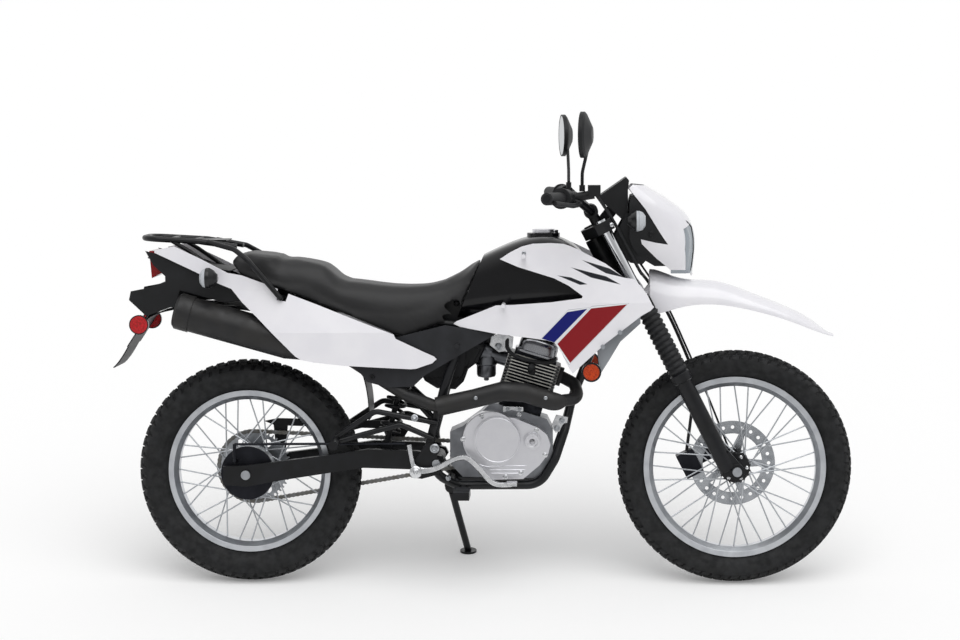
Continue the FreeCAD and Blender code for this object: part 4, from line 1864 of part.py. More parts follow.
def exhaust_parts():
    points = exhaust_points()
    pipe = tube(points, sizes.header_radius, sizes.header_bend_radius)
    flange = cylinder_between(exhaust_port(0), exhaust_port(sizes.axle_nut_width * 1.3),
                              sizes.header_flange_radius)
    path = points[2:8]
    path[0] = (points[2] + points[3]) / 2
    wire = rounded_path(path, sizes.header_bend_radius)
    direction = path[1] - path[0]
    circles_of = [Part.Wire(Part.Circle(path[0], direction, radius).toShape())
                  for radius in (sizes.shield_radius, sizes.shield_radius - sizes.shield_wall)]
    solids = [wire.makePipeShell([ring], True, False) for ring in circles_of]
    shell = solids[0].cut(solids[1])
    outer = Part.makeBox(sizes.wheelbase, sizes.muffler_side, sizes.wheelbase,
                         Vector(0, -sizes.muffler_side * 2.46, 0))
    shell = shell.common(outer)
    pins = []
    for number in (1, 3, 5):
        middle = (path[number - 1] + path[number]) / 2
        pins.append(Part.makeCylinder(sizes.spoke_radius * 2, sizes.shield_radius - sizes.shield_wall,
                                      middle, Vector(0, -1, 0)))
    exhaust = pipe.multiFuse([flange, shell] + pins)
    node("exhaust_pipe", feature("exhaust_pipe", exhaust))

    muffler = body("muffler")
    radius, length = "muffler_radius", "muffler_length"
    profile = [
        ("muffler_tip_depth", "0"), ("muffler_tip_depth", "muffler_tip_radius"),
        ("0", "muffler_tip_radius"), ("0", f"{radius} - rim_wall * 2"), ("rim_wall * 2", radius),
        ("muffler_cap_length", radius), ("muffler_cap_length", f"{radius} - rim_wall * 0.6"),
        (f"{length} * 0.72", f"{radius} - rim_wall * 0.6"),
        (length, "header_radius + rim_wall * 1.5"),
        (length, "header_radius + shaft_clearance"),
        (f"{length} - rim_wall * 4", "header_radius + shaft_clearance"),
        (f"{length} - rim_wall * 4", "0")]
    revolution(muffler, outline(muffler, "XZ_Plane", profile), "H_Axis")
    node("muffler", muffler, muffler_place())


# The rear mudguard's run from behind the shock over the tyre to the flap: shares of the wheelbase.
MUDGUARD_SHARES = [
    (0.25, 0.34), (0.243, 0.42), (0.205, 0.497), (0.12, 0.545), (0, 0.567), (-0.08, 0.575),
    (-0.158, 0.566), (-0.2, 0.55), (-0.218, 0.53), (-0.272, 0.449)]
# The tail box's side outline, as shares of the wheelbase.
TAIL_BOX_SHARES = [(-0.2, 0.69), (-0.184, 0.661), (-0.16, 0.6385), (-0.16, 0.628),
                   (-0.191, 0.6155), (-0.231, 0.608), (-0.235, 0.59), (-0.2, 0.557),
                   (-0.15, 0.575), (-0.07, 0.582), (0.02, 0.59), (0.045, 0.612), (-0.03, 0.635),
                   (-0.1, 0.665)]


def rear_fender_part():
    half, wall = sizes.mudguard_half_width, sizes.mudguard_wall
    outer = [spot(x, 0, z) for x, z in MUDGUARD_SHARES]
    curve = spline_edge(outer)
    inner = [point + mudguard_normal(outer, number) * wall for number, point in enumerate(outer)]
    back = spline_edge(list(reversed(inner)))
    wire = Part.Wire([curve, Part.LineSegment(outer[-1], inner[-1]).toShape(), back,
                      Part.LineSegment(inner[0], outer[0]).toShape()])
    sheet = Part.Face(wire).extrude(Vector(0, 2 * half, 0)).translated(Vector(0, -half, 0))
    rails = tail_box_side()
    points = [spot(x, -rails, z) for x, z in TAIL_BOX_SHARES]
    wall_right = Part.Face(polygon(points)).extrude(Vector(0, -wall, 0))
    top = Part.makeBox(spot(0.17, 0, 0).x, 2 * rails + 2 * wall, wall)
    top.translate(Vector(0, -rails - wall, 0))
    top.rotate(Vector(0, 0, 0), Vector(0, 1, 0), sizes.cylinder_tilt * 0.55)
    top.translate(spot(-0.195, 0, 0.675))
    floor = Part.makeBox(spot(0.2, 0, 0).x, 2 * rails + wall, wall)
    floor.translate(spot(-0.19, 0, 0.577) + Vector(0, -rails - wall * 0.5, 0))
    holder = Part.makeBox(wall, sizes.plate_holder_half_width * 2, sizes.lamp_height * 1.6)
    holder.translate(Vector(0, -sizes.plate_holder_half_width, -sizes.lamp_height * 1.6))
    holder.rotate(Vector(0, 0, 0), Vector(0, 1, 0), sizes.rake_angle * 1.24)
    holder.translate(spot(-0.1925, 0, 0.569))
    muffler_room = Part.makeCylinder(sizes.muffler_radius + sizes.cut_overrun,
                                     sizes.muffler_length + sizes.cut_overrun)
    muffler_room.transformShape((muffler_place() * Placement(
        Vector(-sizes.cut_overrun, 0, 0), Rotation(Vector(0, 1, 0), 90))).toMatrix())
    lamp_room = Part.makeBox(sizes.lamp_length * 1.1, sizes.lamp_half_width * 2 + sizes.running_gap * 2,
                             sizes.lamp_height * 1.5)
    lamp_room.translate(Vector(sizes.lamp_x - sizes.lamp_length * 0.1 - sizes.running_gap,
                               -sizes.lamp_half_width - sizes.running_gap,
                               sizes.lamp_low - sizes.running_gap))
    fender = sheet.multiFuse([wall_right, mirrored(wall_right), floor, top, holder])
    fender = fender.cut(muffler_room).cut(lamp_room)
    node("rear_fender", feature("rear_fender", fender))


def mudguard_normal(points, number):
    before, after = points[max(number - 1, 0)], points[min(number + 1, len(points) - 1)]
    along = (after - before).normalize()
    return Vector(along.z, 0, -along.x)


def rack_part():
    """The luggage rack: a bent hoop, cross bars, a plate and four feet."""
    radius, half = sizes.rack_tube_radius, sizes.rack_half_width
    rear, length = sizes.rack_rear_x + radius, sizes.rack_length
    z, drop = sizes.rack_height - radius, sizes.rack_drop
    hoop = tube([
        Vector(rear + length, -half * 0.8, z - drop * 1.4),
        Vector(rear + length * 0.6, -half, z - drop * 0.5),
        Vector(rear, -half, z), Vector(rear, half, z),
        Vector(rear + length * 0.6, half, z - drop * 0.5),
        Vector(rear + length, half * 0.8, z - drop * 1.4)], radius, sizes.header_bend_radius)
    bars = [Part.makeCylinder(radius * 0.8, 2 * half, Vector(rear + length * along, -half,
                                                             z - drop * 0.8 * along),
                              Vector(0, 1, 0)) for along in (0.3, 0.55)]
    plate = Part.makeBox(length * 0.8, half * 1.3, sizes.rack_plate_thickness,
                         Vector(rear + length * 0.08, -half * 0.65, z - drop * 0.5))
    feet = []
    frame, fender = standing("frame"), standing("rear_fender")
    for way in (-1, 1):
        out = sizes.tail_half_width * 0.925
        feet.append(tube([
            Vector(rear + length * 0.7, way * half, z - drop * 0.6),
            Vector(rear + length, way * out * 0.8, z - drop * 1.6),
            Vector(rear + length * 1.15, way * out, z - drop * 3),
            Vector(sizes.rack_foot_x, way * out, sizes.rack_foot_height)], radius * 0.9,
            sizes.grip_flange_radius))
        foot = Vector(sizes.rack_foot_x, way * out, sizes.rack_foot_height)
        feet.append(between(cylinder_between(foot, foot - Vector(0, way * sizes.rail_side, 0),
                                             radius * 0.75), frame))
        feet.append(between(tube([
            Vector(rear + length * 0.3, way * half, z - drop * 0.3),
            Vector(rear + length * 0.5, way * half, z - drop * 2),
            spot(-0.055, way * sizes.rail_side, 0.648)], radius * 0.7, sizes.grip_flange_radius),
            fender))
    node("rear_rack", feature("rear_rack", hoop.multiFuse(bars + [plate] + feet)))


def lamp_part():
    lamp = body("tail_lamp")
    x, low = "lamp_x", "lamp_low"
    plan = [(x, low), (f"{x} + lamp_length * 0.7", f"{low} + lamp_height * 0.3"),
            (f"{x} + lamp_length * 0.9", f"{low} + lamp_height"),
            (f"{x} - lamp_length * 0.1", f"{low} + lamp_height")]
    pad(lamp, outline(lamp, "XZ_Plane", plan, "-lamp_half_width"), "lamp_half_width * 2")
    node("tail_lamp", lamp)


def reflector_parts():
    for end in ("front", "rear"):
        x, z = getattr(sizes, end + "_reflector_x"), getattr(sizes, end + "_reflector_height")
        side = getattr(sizes, end + "_reflector_side")
        discs = [Part.makeCylinder(sizes.reflector_radius, sizes.reflector_depth,
                                   Vector(x, way * side, z), Vector(0, way, 0)) for way in (-1, 1)]
        node(end + "_reflectors", feature(end + "_reflectors", Part.makeCompound(discs)))


def peg_parts():
    """Rider and passenger pegs with their brackets."""
    pegs = []
    for way in (-1, 1):
        inner = sizes.cradle_side + sizes.frame_tube_radius + sizes.running_gap
        stub = Part.makeCylinder(sizes.stem_radius * 0.8, sizes.peg_inner_side - inner + sizes.rim_wall,
                                 Vector(sizes.peg_x, way * inner, sizes.peg_height),
                                 Vector(0, way, 0))
        plate = Part.makeBox(sizes.peg_width, sizes.peg_length, sizes.peg_thickness)
        plate.translate(Vector(sizes.peg_x - sizes.peg_width / 2,
                               sizes.peg_inner_side if way > 0
                               else -sizes.peg_inner_side - sizes.peg_length,
                               sizes.peg_height - sizes.peg_thickness / 2))
        pegs.append(stub.fuse(plate))
    rear = []
    for way in (-1, 1):
        side = way * sizes.passenger_stay_side
        tip = Vector(sizes.passenger_peg_x, side, sizes.passenger_peg_height)
        stay = sizes.rail_radius * 0.7
        root = way * (sizes.pivot_tube_side + sizes.frame_tube_radius + stay + sizes.seam_gap)
        upper = tube([spot(0.395, root, 0.342), spot(0.268, side, 0.365),
                      tip + Vector(0, 0, sizes.passenger_peg_radius)], stay,
                     sizes.grip_flange_radius)
        lower = tube([spot(0.386, root, 0.31), spot(0.319, side, 0.338), tip], stay,
                     sizes.grip_flange_radius)
        peg = Part.makeCylinder(sizes.passenger_peg_radius, sizes.passenger_peg_length, tip,
                                Vector(0, way, 0))
        rear.append(upper.multiFuse([lower, peg]))
    node("foot_pegs", feature("foot_pegs", Part.makeCompound(pegs + rear)))


def control_parts():
    """The brake pedal with its rod and drum arm, and the gear shift lever."""
    side, bar = -sizes.pedal_side, sizes.pedal_bar_radius
    pivot = spot(0.351, side, 0.241)
    seat = -sizes.pivot_tube_side - sizes.frame_tube_radius - sizes.rim_wall - sizes.seam_gap
    points = [spot(0.347, side, 0.254), spot(0.382, side, 0.239), spot(0.411, side, 0.25),
              spot(0.433, side, 0.266), spot(0.455, side, 0.27), spot(0.48, side, 0.25),
              spot(0.507, side, 0.2166), spot(0.551, side, 0.2144),
              spot(0.554, side - bar * 4, 0.2144)]
    arm = tube(points, bar, sizes.grip_flange_radius)
    boss = Part.makeCylinder(bar * 1.8, seat - side + bar, Vector(pivot.x, side - bar, pivot.z),
                             Vector(0, 1, 0))
    upright = tube([pivot, spot(0.327, side, 0.301)], bar * 0.8, bar)
    pedal = arm.multiFuse([boss, upright])
    shift = sizes.shift_side
    lever = tube([spot(0.49, sizes.case_left_side + sizes.seam_gap, 0.238), spot(0.49, shift, 0.238),
                  spot(0.548, shift, 0.222), spot(0.548, shift + bar * 4, 0.222)],
                 sizes.shift_bar_radius, sizes.grip_flange_radius)
    node("foot_controls", feature("foot_controls", Part.makeCompound([pedal, lever])))
    rear = sizes.arm_inner_side + sizes.arm_width + sizes.seam_gap
    panel_face = -(sizes.rear_hub_width / 2 + sizes.rear_drum_wall * 2 + sizes.cut_overrun)
    drum = Part.makeCylinder(sizes.rear_drum_radius, sizes.brake_panel_thickness,
                             Vector(0, panel_face, sizes.rear_tyre_radius), Vector(0, -1, 0))
    hole = Part.makeCylinder(sizes.rear_axle_radius + sizes.shaft_clearance, rear,
                             Vector(0, -rear, sizes.rear_tyre_radius), Vector(0, 1, 0))
    drum = drum.cut(hole)
    out = -sizes.rod_side
    rod = cylinder_between(spot(-0.022, out, 0.295), spot(0.327, out, 0.297), sizes.rod_radius)
    swing = tube([spot(-0.022, out, 0.296), spot(-0.022, out, 0.258), spot(-0.022, panel_face, 0.258)],
                 bar * 0.6, bar)
    node("rear_brake", feature("rear_brake", drum.multiFuse([rod, swing])))


def chain_part():
    """The chain's closed loop round both sprockets, scalloped once a link, slotted over the teeth."""
    pitch, teeth = sizes.chain_pitch, (sizes.sprocket_teeth, sizes.front_sprocket_teeth)
    big, small = [pitch / (2 * math.sin(math.pi / count)) for count in teeth]
    rear = Vector(0, 0, sizes.rear_tyre_radius)
    front = Vector(sizes.front_sprocket_x, 0, sizes.front_sprocket_height)
    between = front - rear
    base = math.atan2(between.z, between.x)
    spread = math.acos((big - small) / between.Length)
    straight = math.sqrt(between.Length ** 2 - (big - small) ** 2)
    wrap_front, wrap_rear = 2 * spread, 2 * math.pi - 2 * spread
    total = 2 * straight + small * wrap_front + big * wrap_rear
    steps = 2 * round(total / pitch)

    def along(distance):
        if distance < straight:
            angle = base + spread
            start = rear + Vector(math.cos(angle), 0, math.sin(angle)) * big
            run = Vector(math.sin(angle), 0, -math.cos(angle))
            return start + run * distance, angle
        distance -= straight
        if distance < small * wrap_front:
            angle = base + spread - distance / small
            return front + Vector(math.cos(angle), 0, math.sin(angle)) * small, angle
        distance -= small * wrap_front
        if distance < straight:
            angle = base - spread
            start = front + Vector(math.cos(angle), 0, math.sin(angle)) * small
            run = Vector(math.sin(angle), 0, -math.cos(angle))
            return start + run * distance, angle
        distance -= straight
        angle = base - spread - distance / big
        return rear + Vector(math.cos(angle), 0, math.sin(angle)) * big, angle

    low = sizes.chain_side - sizes.chain_width / 2
    outer, inner = [], []
    for number in range(steps):
        spot, angle = along(total * number / steps)
        half = sizes.chain_plate_height / 2 * (1 if number % 2 else CHAIN_WAIST_SHARE)
        normal = Vector(math.cos(angle), 0, math.sin(angle))
        outer.append(spot + normal * half + Vector(0, low, 0))
        inner.append(spot - normal * half + Vector(0, low, 0))
    reach = Vector(0, sizes.chain_width, 0)
    loop = Part.Face(polygon(outer)).extrude(reach).cut(Part.Face(polygon(inner)).extrude(reach))
    for centre, radius in ((rear, big), (front, small)):
        loop = loop.cut(Part.makeCylinder(
            radius + sizes.cut_overrun, sizes.chain_slot_width,
            centre + Vector(0, sizes.chain_side - sizes.chain_slot_width / 2, 0),
            Vector(0, 1, 0)))
    node("chain", feature("chain", loop))
    guard = slab(CHAIN_GUARD_SHARES, 0, sizes.rear_tyre_radius, sizes.wheelbase, sizes.wheelbase,
                 sizes.arm_inner_side + sizes.running_gap,
                 sizes.arm_inner_side + sizes.running_gap + sizes.mudguard_wall)
    node("chain_guard", feature("chain_guard", guard))


# A link's waist, as a share of its full height, and the guard's outline about the rear axle.
CHAIN_WAIST_SHARE = 0.74
CHAIN_GUARD_SHARES = [(0.02, 0.094), (0.05, 0.1), (0.3, 0.094), (0.33, 0.084), (0.31, 0.0513),
                      (0.28, 0.0526), (0.27, 0.078), (0.07, 0.084), (0.065, 0.0276), (0.045, 0.0249),
                      (0.04, 0.086)]


def stand_bracket_solids():
    """The forked lug under the cradle that holds the side stand, with its pin."""
    pivot = Vector(sizes.stand_pivot_x, sizes.stand_pivot_side, sizes.stand_pivot_height)
    axis = stand_axis()
    knuckle_half, ear = sizes.stand_knuckle_width / 2, sizes.stand_ear_thickness
    rise = spot(CRADLE_REAR_SHARES[0], sizes.cradle_side, CRADLE_REAR_SHARES[1]) - pivot
    rise = rise - axis * rise.dot(axis)
    across = axis.cross(rise).normalize() * (sizes.stand_knuckle_radius * 0.8)

    def strip(start, end, side, thickness):
        root, tip = pivot + axis * side + rise * start, pivot + axis * side + rise * end
        corners = [root - across, root + across, tip + across, tip - across]
        return Part.Face(polygon(corners)).extrude(axis * thickness)

    near, far = knuckle_half + sizes.seam_gap, knuckle_half + sizes.seam_gap + ear
    pin = Part.makeCylinder(sizes.stand_pin_radius, far * 2, pivot - axis * far, axis)
    lug = strip(0.5, 1, -far, far * 2)
    ears = [strip(0, 0.9, -far, ear), strip(0, 0.9, near, ear)]
    eyes = [Part.makeCylinder(sizes.stand_knuckle_radius * 0.8, ear, pivot + axis * side, axis)
            for side in (-far, near)]
    return [lug, pin] + ears + eyes


def stand_parts():
    """The side stand, parked: a knuckle, a leg and a foot level with the ground."""
    lean = math.radians(sizes.lean_angle)
    up = Vector(0, -math.sin(lean), math.cos(lean))
    pivot = Vector(sizes.stand_pivot_x, sizes.stand_pivot_side, sizes.stand_pivot_height)
    ground = sizes.stand_foot_side * math.tan(lean) - crown_lift() / math.cos(lean)
    foot = Vector(sizes.stand_foot_x, sizes.stand_foot_side, ground)
    axis = stand_axis()
    ankle = foot + up * (sizes.stand_foot_thickness / 2)
    leg = tube([pivot, ankle + (pivot - ankle) * 0.2, ankle], sizes.stand_tube_radius,
               sizes.tube_bend_radius)
    foot_disc = Part.makeCylinder(sizes.stand_foot_radius, sizes.stand_foot_thickness, foot, up)
    under = Part.makeCylinder(sizes.stand_foot_radius * 4, sizes.stand_foot_radius * 2, foot,
                              up * -1)
    knuckle_half, ear = sizes.stand_knuckle_width / 2, sizes.stand_ear_thickness
    knuckle = Part.makeCylinder(sizes.stand_knuckle_radius, sizes.stand_knuckle_width,
                                pivot - axis * knuckle_half, axis)
    reach = knuckle_half + sizes.seam_gap + ear
    hole = Part.makeCylinder(sizes.stand_pin_radius + sizes.shaft_clearance, reach * 4,
                             pivot - axis * (reach * 2), axis)
    clearing = [Part.makeCylinder(sizes.stand_knuckle_radius * 1.25, ear * 4,
                                  pivot + axis * (way * knuckle_half),
                                  axis * way) for way in (-1, 1)]
    stand = leg.multiFuse([foot_disc, knuckle]).cut(under)
    for disc in clearing:
        stand = stand.cut(disc)
    stand = stand.cut(hole)
    node("side_stand", feature("side_stand", stand))


def crown_lift():
    """How far the lean raises the wheels' contact line: the crown rolls on its own radius."""
    lean = math.radians(sizes.lean_angle)
    return (sizes.front_tyre_width * 0.55) * (1 - math.cos(lean))


def stand_axis():
    """The stand's hinge line, square to the leg both when it is down and when it is folded back."""
    lean = math.radians(sizes.lean_angle)
    ground = sizes.stand_foot_side * math.tan(lean) - crown_lift() / math.cos(lean)
    down = Vector(sizes.stand_foot_x - sizes.stand_pivot_x,
                  sizes.stand_foot_side - sizes.stand_pivot_side,
                  ground - sizes.stand_pivot_height).normalize()
    back = Vector(-math.cos(math.radians(sizes.rake_angle * 0.4)),
                  math.sin(math.radians(sizes.rake_angle * 0.4)), 0).normalize()
    return down.cross(back).normalize()


def cord(name, route, radius, *walls):
    """A cord along its route on the fork, ending flush on the pieces that hold it."""
    path = rounded_path(route, sizes.hose_bend_radius)
    section = Part.Wire(Part.Circle(route[0], route[1] - route[0], radius).toShape())
    whole = path.makePipeShell([section], True, False)
    share = whole.Volume / (math.pi * radius ** 2 * path.Length)
    print(name, "cord length", round(path.Length, 1), "radius", radius, "volume share",
          round(share, 4))
    placed = feature(name + "_route", whole)
    placed.Visibility = False
    cords = whole.copy()
    cords.transformShape(steering.toMatrix())
    node(name, feature(name, between(cords, *[standing(wall) for wall in walls])))


def cord_parts():
    """The brake hose from its pump to the caliper, and the speedometer's cable to the front hub."""
    end, inward = on_bar(sizes.grip_length + sizes.pod_length + sizes.running_gap * 2
                         + sizes.perch_length / 2)
    pump = steering.inverse().multVec(end + Vector(sizes.perch_radius * 3.6, 0,
                                                   sizes.perch_radius * 0.54))
    dial = steering.inverse().multVec(Vector(
        sizes.binnacle_x + sizes.binnacle_length * 0.76, sizes.binnacle_half_width * 0.6,
        sizes.binnacle_low - sizes.binnacle_height * 0.29))
    cord("brake_hose", [pump] + [Vector(*point) for point in BRAKE_HOSE_ROUTE],
         sizes.hose_radius, "hand_controls", "brake_caliper")
    cord("control_cables", [dial] + [Vector(*point) for point in SPEEDOMETER_CABLE_ROUTE],
         sizes.cable_radius, "instrument_binnacle", "fork_legs")


# The cords' routes on the fork: ahead of the steering axis, to the left, and up from its foot.
BRAKE_HOSE_ROUTE = [(58, -120, 862), (70, -97, 800), (70, -95, 625), (72, -60, 600), (72, 60, 600),
                    (80, 94, 560), (89.6, 97, 463), (80.8, 97, 320), (74, 74, 262), (20, 62, 180),
                    (-48, 66, 80)]
SPEEDOMETER_CABLE_ROUTE = [(78, 44, 715), (76, 48, 660), (84, 60, 610), (92, 82, 540),
                           (97, 85, 463), (89, 85, 320), (80, 92, 160), (64, 95, 10)]


def brake_parts():
    """The front caliper over the disc, with the tongue that bolts it to the fork leg."""
    reach, half = axle_offset, sizes.caliper_length / 2
    low = sizes.caliper_height - half
    gap = sizes.cut_overrun + sizes.disc_thickness / 2
    outer = sizes.fork_half_spacing - sizes.fork_tube_radius * 0.7
    block = Part.makeBox(sizes.caliper_depth, outer - sizes.caliper_inner_side, sizes.caliper_length,
                         Vector(reach - sizes.disc_radius - sizes.caliper_bridge,
                                sizes.caliper_inner_side, low))
    slot = Part.makeCylinder(sizes.disc_radius + sizes.cut_overrun, gap * 2,
                             Vector(reach, sizes.disc_side - gap, 0), Vector(0, 1, 0))
    leg = Part.makeCylinder(sizes.fork_leg_radius + sizes.seam_gap, sizes.fork_leg_top,
                            Vector(sizes.steering_fork_offset, sizes.fork_half_spacing, 0))
    tongue = Part.makeBox(reach, outer - sizes.disc_side - gap, sizes.caliper_length * 0.45,
                          Vector(-reach * 0.55, sizes.disc_side + gap, low + half * 0.5))
    caliper = block.cut(slot).fuse(tongue).cut(leg)
    ahead = Part.makeBox(reach * 2, outer * 2, sizes.fork_leg_top,
                         Vector(sizes.steering_fork_offset, 0, 0))
    caliper = caliper.cut(ahead)
    node("brake_caliper", feature("brake_caliper", caliper), steering)


tank_parts()
seat_part()
frame_part()
panel_parts()
pivot_bolt = swingarm_part()
spindle = rear_axle_piece()
spindle.Shape = spindle.Shape.translated(rear_axle.Base)
node("rear_axles", feature("rear_axles", Part.makeCompound([spindle.Shape, pivot_bolt])))
shock_part()
engine_parts()
exhaust_parts()
rear_fender_part()
rack_part()
lamp_part()
reflector_parts()
peg_parts()
control_parts()
chain_part()
stand_parts()
brake_parts()
cord_parts()
doc.recompute()

lean = Rotation(Vector(1, 0, 0), -sizes.lean_angle)
leaned = Placement(Vector(0, 0, crown_lift()), lean)


def bounding_corners():
    low, high = [math.inf] * 3, [-math.inf] * 3
    for name, piece, where in nodes:
        shape = piece.Shape.copy()
        shape.transformShape((leaned * where).toMatrix())
        box = shape.optimalBoundingBox(False)
        for axis, (least, most) in enumerate(
                ((box.XMin, box.XMax), (box.YMin, box.YMax), (box.ZMin, box.ZMax))):
            low[axis], high[axis] = min(low[axis], least), max(high[axis], most)
    return low, high


low, high = bounding_corners()
shift = Vector(-(low[0] + high[0]) / 2, -(low[1] + high[1]) / 2, -low[2])
parked = Placement(leaned.Base + shift, lean)

os.makedirs("parts", exist_ok=True)
print("size", [round(most - least, 2) for least, most in zip(low, high)])
print("shift", [round(value, 4) for value in shift])
for name, piece, where in nodes:
    piece.Placement = parked * where
doc.recompute()
faults = []
for thing in doc.Objects:
    if "Invalid" in thing.State or "Error" in thing.State:
        faults.append(thing.Name)
for name, piece, where in nodes:
    shape = piece.Shape
    if shape.isNull() or not shape.isValid():
        faults.append(name)
    print(name, round(shape.Volume / 1000, 1), len(shape.Solids))
if faults:
    raise RuntimeError("faults in " + ", ".join(faults))
for name, piece, where in nodes:
    piece.Shape.exportStep(f"parts/{name}.step")
print("nodes", len(nodes))
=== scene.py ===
import json
import math
from collections import namedtuple

import bmesh
import bpy
from mathutils import Matrix, Vector
from mathutils.bvhtree import BVHTree


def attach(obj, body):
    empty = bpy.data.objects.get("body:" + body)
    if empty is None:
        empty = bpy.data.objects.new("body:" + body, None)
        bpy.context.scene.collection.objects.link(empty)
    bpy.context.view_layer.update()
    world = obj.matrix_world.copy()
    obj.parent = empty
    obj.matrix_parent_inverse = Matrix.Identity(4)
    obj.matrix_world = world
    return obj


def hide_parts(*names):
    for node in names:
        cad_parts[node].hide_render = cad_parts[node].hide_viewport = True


# A dual sport motorcycle leaning on its side stand, seen from its right side.
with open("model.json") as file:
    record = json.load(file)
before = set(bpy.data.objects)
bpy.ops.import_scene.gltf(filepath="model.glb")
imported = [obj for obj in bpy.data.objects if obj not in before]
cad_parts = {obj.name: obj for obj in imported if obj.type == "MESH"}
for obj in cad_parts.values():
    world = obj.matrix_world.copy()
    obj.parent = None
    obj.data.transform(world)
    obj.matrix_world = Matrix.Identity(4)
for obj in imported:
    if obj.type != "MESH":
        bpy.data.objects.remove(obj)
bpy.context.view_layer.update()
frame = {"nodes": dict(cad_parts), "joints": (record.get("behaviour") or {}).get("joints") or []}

MM = 0.001

# The upright machine's own axes, read from the rear wheel's hinge: X ahead, Y to the left, Z up.
joints = {joint["name"]: joint for joint in frame["joints"]}
REAR_AXLE = Vector(joints["rear_wheel_spin"]["pos_m"])
FRONT_AXLE = Vector(joints["front_wheel_spin"]["pos_m"])
ACROSS = Vector(joints["rear_wheel_spin"]["axis"])
AHEAD = Vector((1, 0, 0))
UP = AHEAD.cross(ACROSS)
STEERING_FOOT = Vector(joints["steering_turn"]["pos_m"])
STEERING_UP = Vector(joints["steering_turn"]["axis"])
STEERING_AHEAD = ACROSS.cross(STEERING_UP)
REAR_TYRE_RADIUS = 315
FRONT_TYRE_RADIUS = 327
WHEELBASE = 1362

# The cylinder leans forward from its foot.
CYLINDER_TILT = math.radians(17)
CYLINDER_UP = AHEAD * math.sin(CYLINDER_TILT) + UP * math.cos(CYLINDER_TILT)
CYLINDER_AHEAD = ACROSS.cross(CYLINDER_UP)
CYLINDER_FOOT = REAR_AXLE + (AHEAD * 762 + UP * (491 - REAR_TYRE_RADIUS)) * MM

# How far across the gear lever and the brake pedal stand, in millimetres.
GEAR_LEVER_SIDE = 128
PEDAL_SIDE = -150

# How far a moulding's or casting's edges are eased, in millimetres, and which corners stay crisp.
EDGE_ROUND = 1.2
CRISP_DEGREES = 35


def upright(x, y, z):
    """A point given in millimetres on the upright machine, from the rear tyre's foot."""
    return REAR_AXLE + (AHEAD * x + ACROSS * y + UP * (z - REAR_TYRE_RADIUS)) * MM


def on_fork(x, y, z):
    """A point given in millimetres along the steering axis, from the axis's foot."""
    return STEERING_FOOT + (STEERING_AHEAD * x + ACROSS * y + STEERING_UP * z) * MM


def centre(corners):
    """The middle of an outline on the side view."""
    return sum((Vector(corner) for corner in corners), Vector((0, 0))) / len(corners)


def grown(corners, reach):
    """A convex outline with every corner moved out from its middle."""
    middle = centre(corners)
    return [tuple(Vector(c) + (Vector(c) - middle).normalized() * reach) for c in corners]


# ---- materials

Look = namedtuple("Look", "material tree shader point")


def colour(hex_value):
    """A linear colour from an sRGB hex value."""
    channels = [int(hex_value[i:i + 2], 16) / 255 for i in (1, 3, 5)]
    return (*(c / 12.92 if c <= 0.04045 else ((c + 0.055) / 1.055) ** 2.4 for c in channels), 1)


def add(tree, kind, settings=None, links=None):
    """A new node. Settings are its properties or input values; links say what feeds its inputs."""
    node = tree.nodes.new("ShaderNode" + kind)
    for key, value in (settings or {}).items():
        if isinstance(key, int) or key in node.inputs:
            node.inputs[key].default_value = value
        else:
            setattr(node, key, value)
    for key, source in (links or {}).items():
        tree.links.new(source, node.inputs[key])
    return node


def reckon(tree, kind, operation, *values):
    """The result of one step of "Math" or "VectorMath" on nodes' outputs and fixed values."""
    node = add(tree, kind, {"operation": operation})
    for socket, value in zip(node.inputs, values):
        if isinstance(value, bpy.types.NodeSocket):
            tree.links.new(value, socket)
        else:
            socket.default_value = value
    return node.outputs["Value" if operation in ("DOT_PRODUCT", "DISTANCE", "LENGTH") else 0]


def spread(tree, value, low, high, to_low=0.0, to_high=1.0):
    """A value stretched from one range to another one, and held at its ends."""
    return add(tree, "MapRange", {"From Min": low, "From Max": high, "To Min": to_low,
                                  "To Max": to_high}, {"Value": value}).outputs[0]


def noise(tree, point, size_mm, detail):
    """Soft noise in patches of about one size."""
    return add(tree, "TexNoise", {"Scale": 1 / size_mm, "Detail": detail},
               {"Vector": point}).outputs["Fac"]


def finish(name, base, roughness, metallic=0.0, **sockets):
    """A plain material, with the point on the object, in millimetres, that its patterns use."""
    material = bpy.data.materials.new(name)
    material.use_nodes = True
    tree = material.node_tree
    shader = tree.nodes["Principled BSDF"]
    shader.inputs["Base Color"].default_value = colour(base)
    shader.inputs["Roughness"].default_value = roughness
    shader.inputs["Metallic"].default_value = metallic
    for key, value in sockets.items():
        shader.inputs[key.replace("_", " ")].default_value = value
    where = add(tree, "TexCoord")
    point = add(tree, "VectorMath", {"operation": "SCALE", "Scale": 1 / MM},
                {0: where.outputs["Object"]})
    return Look(material, tree, shader, point.outputs[0])


def feed(look, socket, value):
    """Lets a pattern drive one input of the look's shader."""
    look.tree.links.new(value, look.shader.inputs[socket])


def paint_over(tree, under, mask, over):
    """A colour laid where a mask says so, over another colour or over a pattern."""
    mix = add(tree, "Mix", {"data_type": "RGBA", 7: colour(over)}, {0: mask})
    if isinstance(under, str):
        mix.inputs[6].default_value = colour(under)
    else:
        tree.links.new(under, mix.inputs[6])
    return mix.outputs[2]


def vary(look, base, other, size_mm, amount=1.0):
    """The base colour drifts towards another one in soft patches of about one size."""
    patches = spread(look.tree, noise(look.tree, look.point, size_mm, 3.0), 0.4, 0.65, 0.0, amount)
    drifting = paint_over(look.tree, base, patches, other)
    feed(look, "Base Color", drifting)
    return drifting


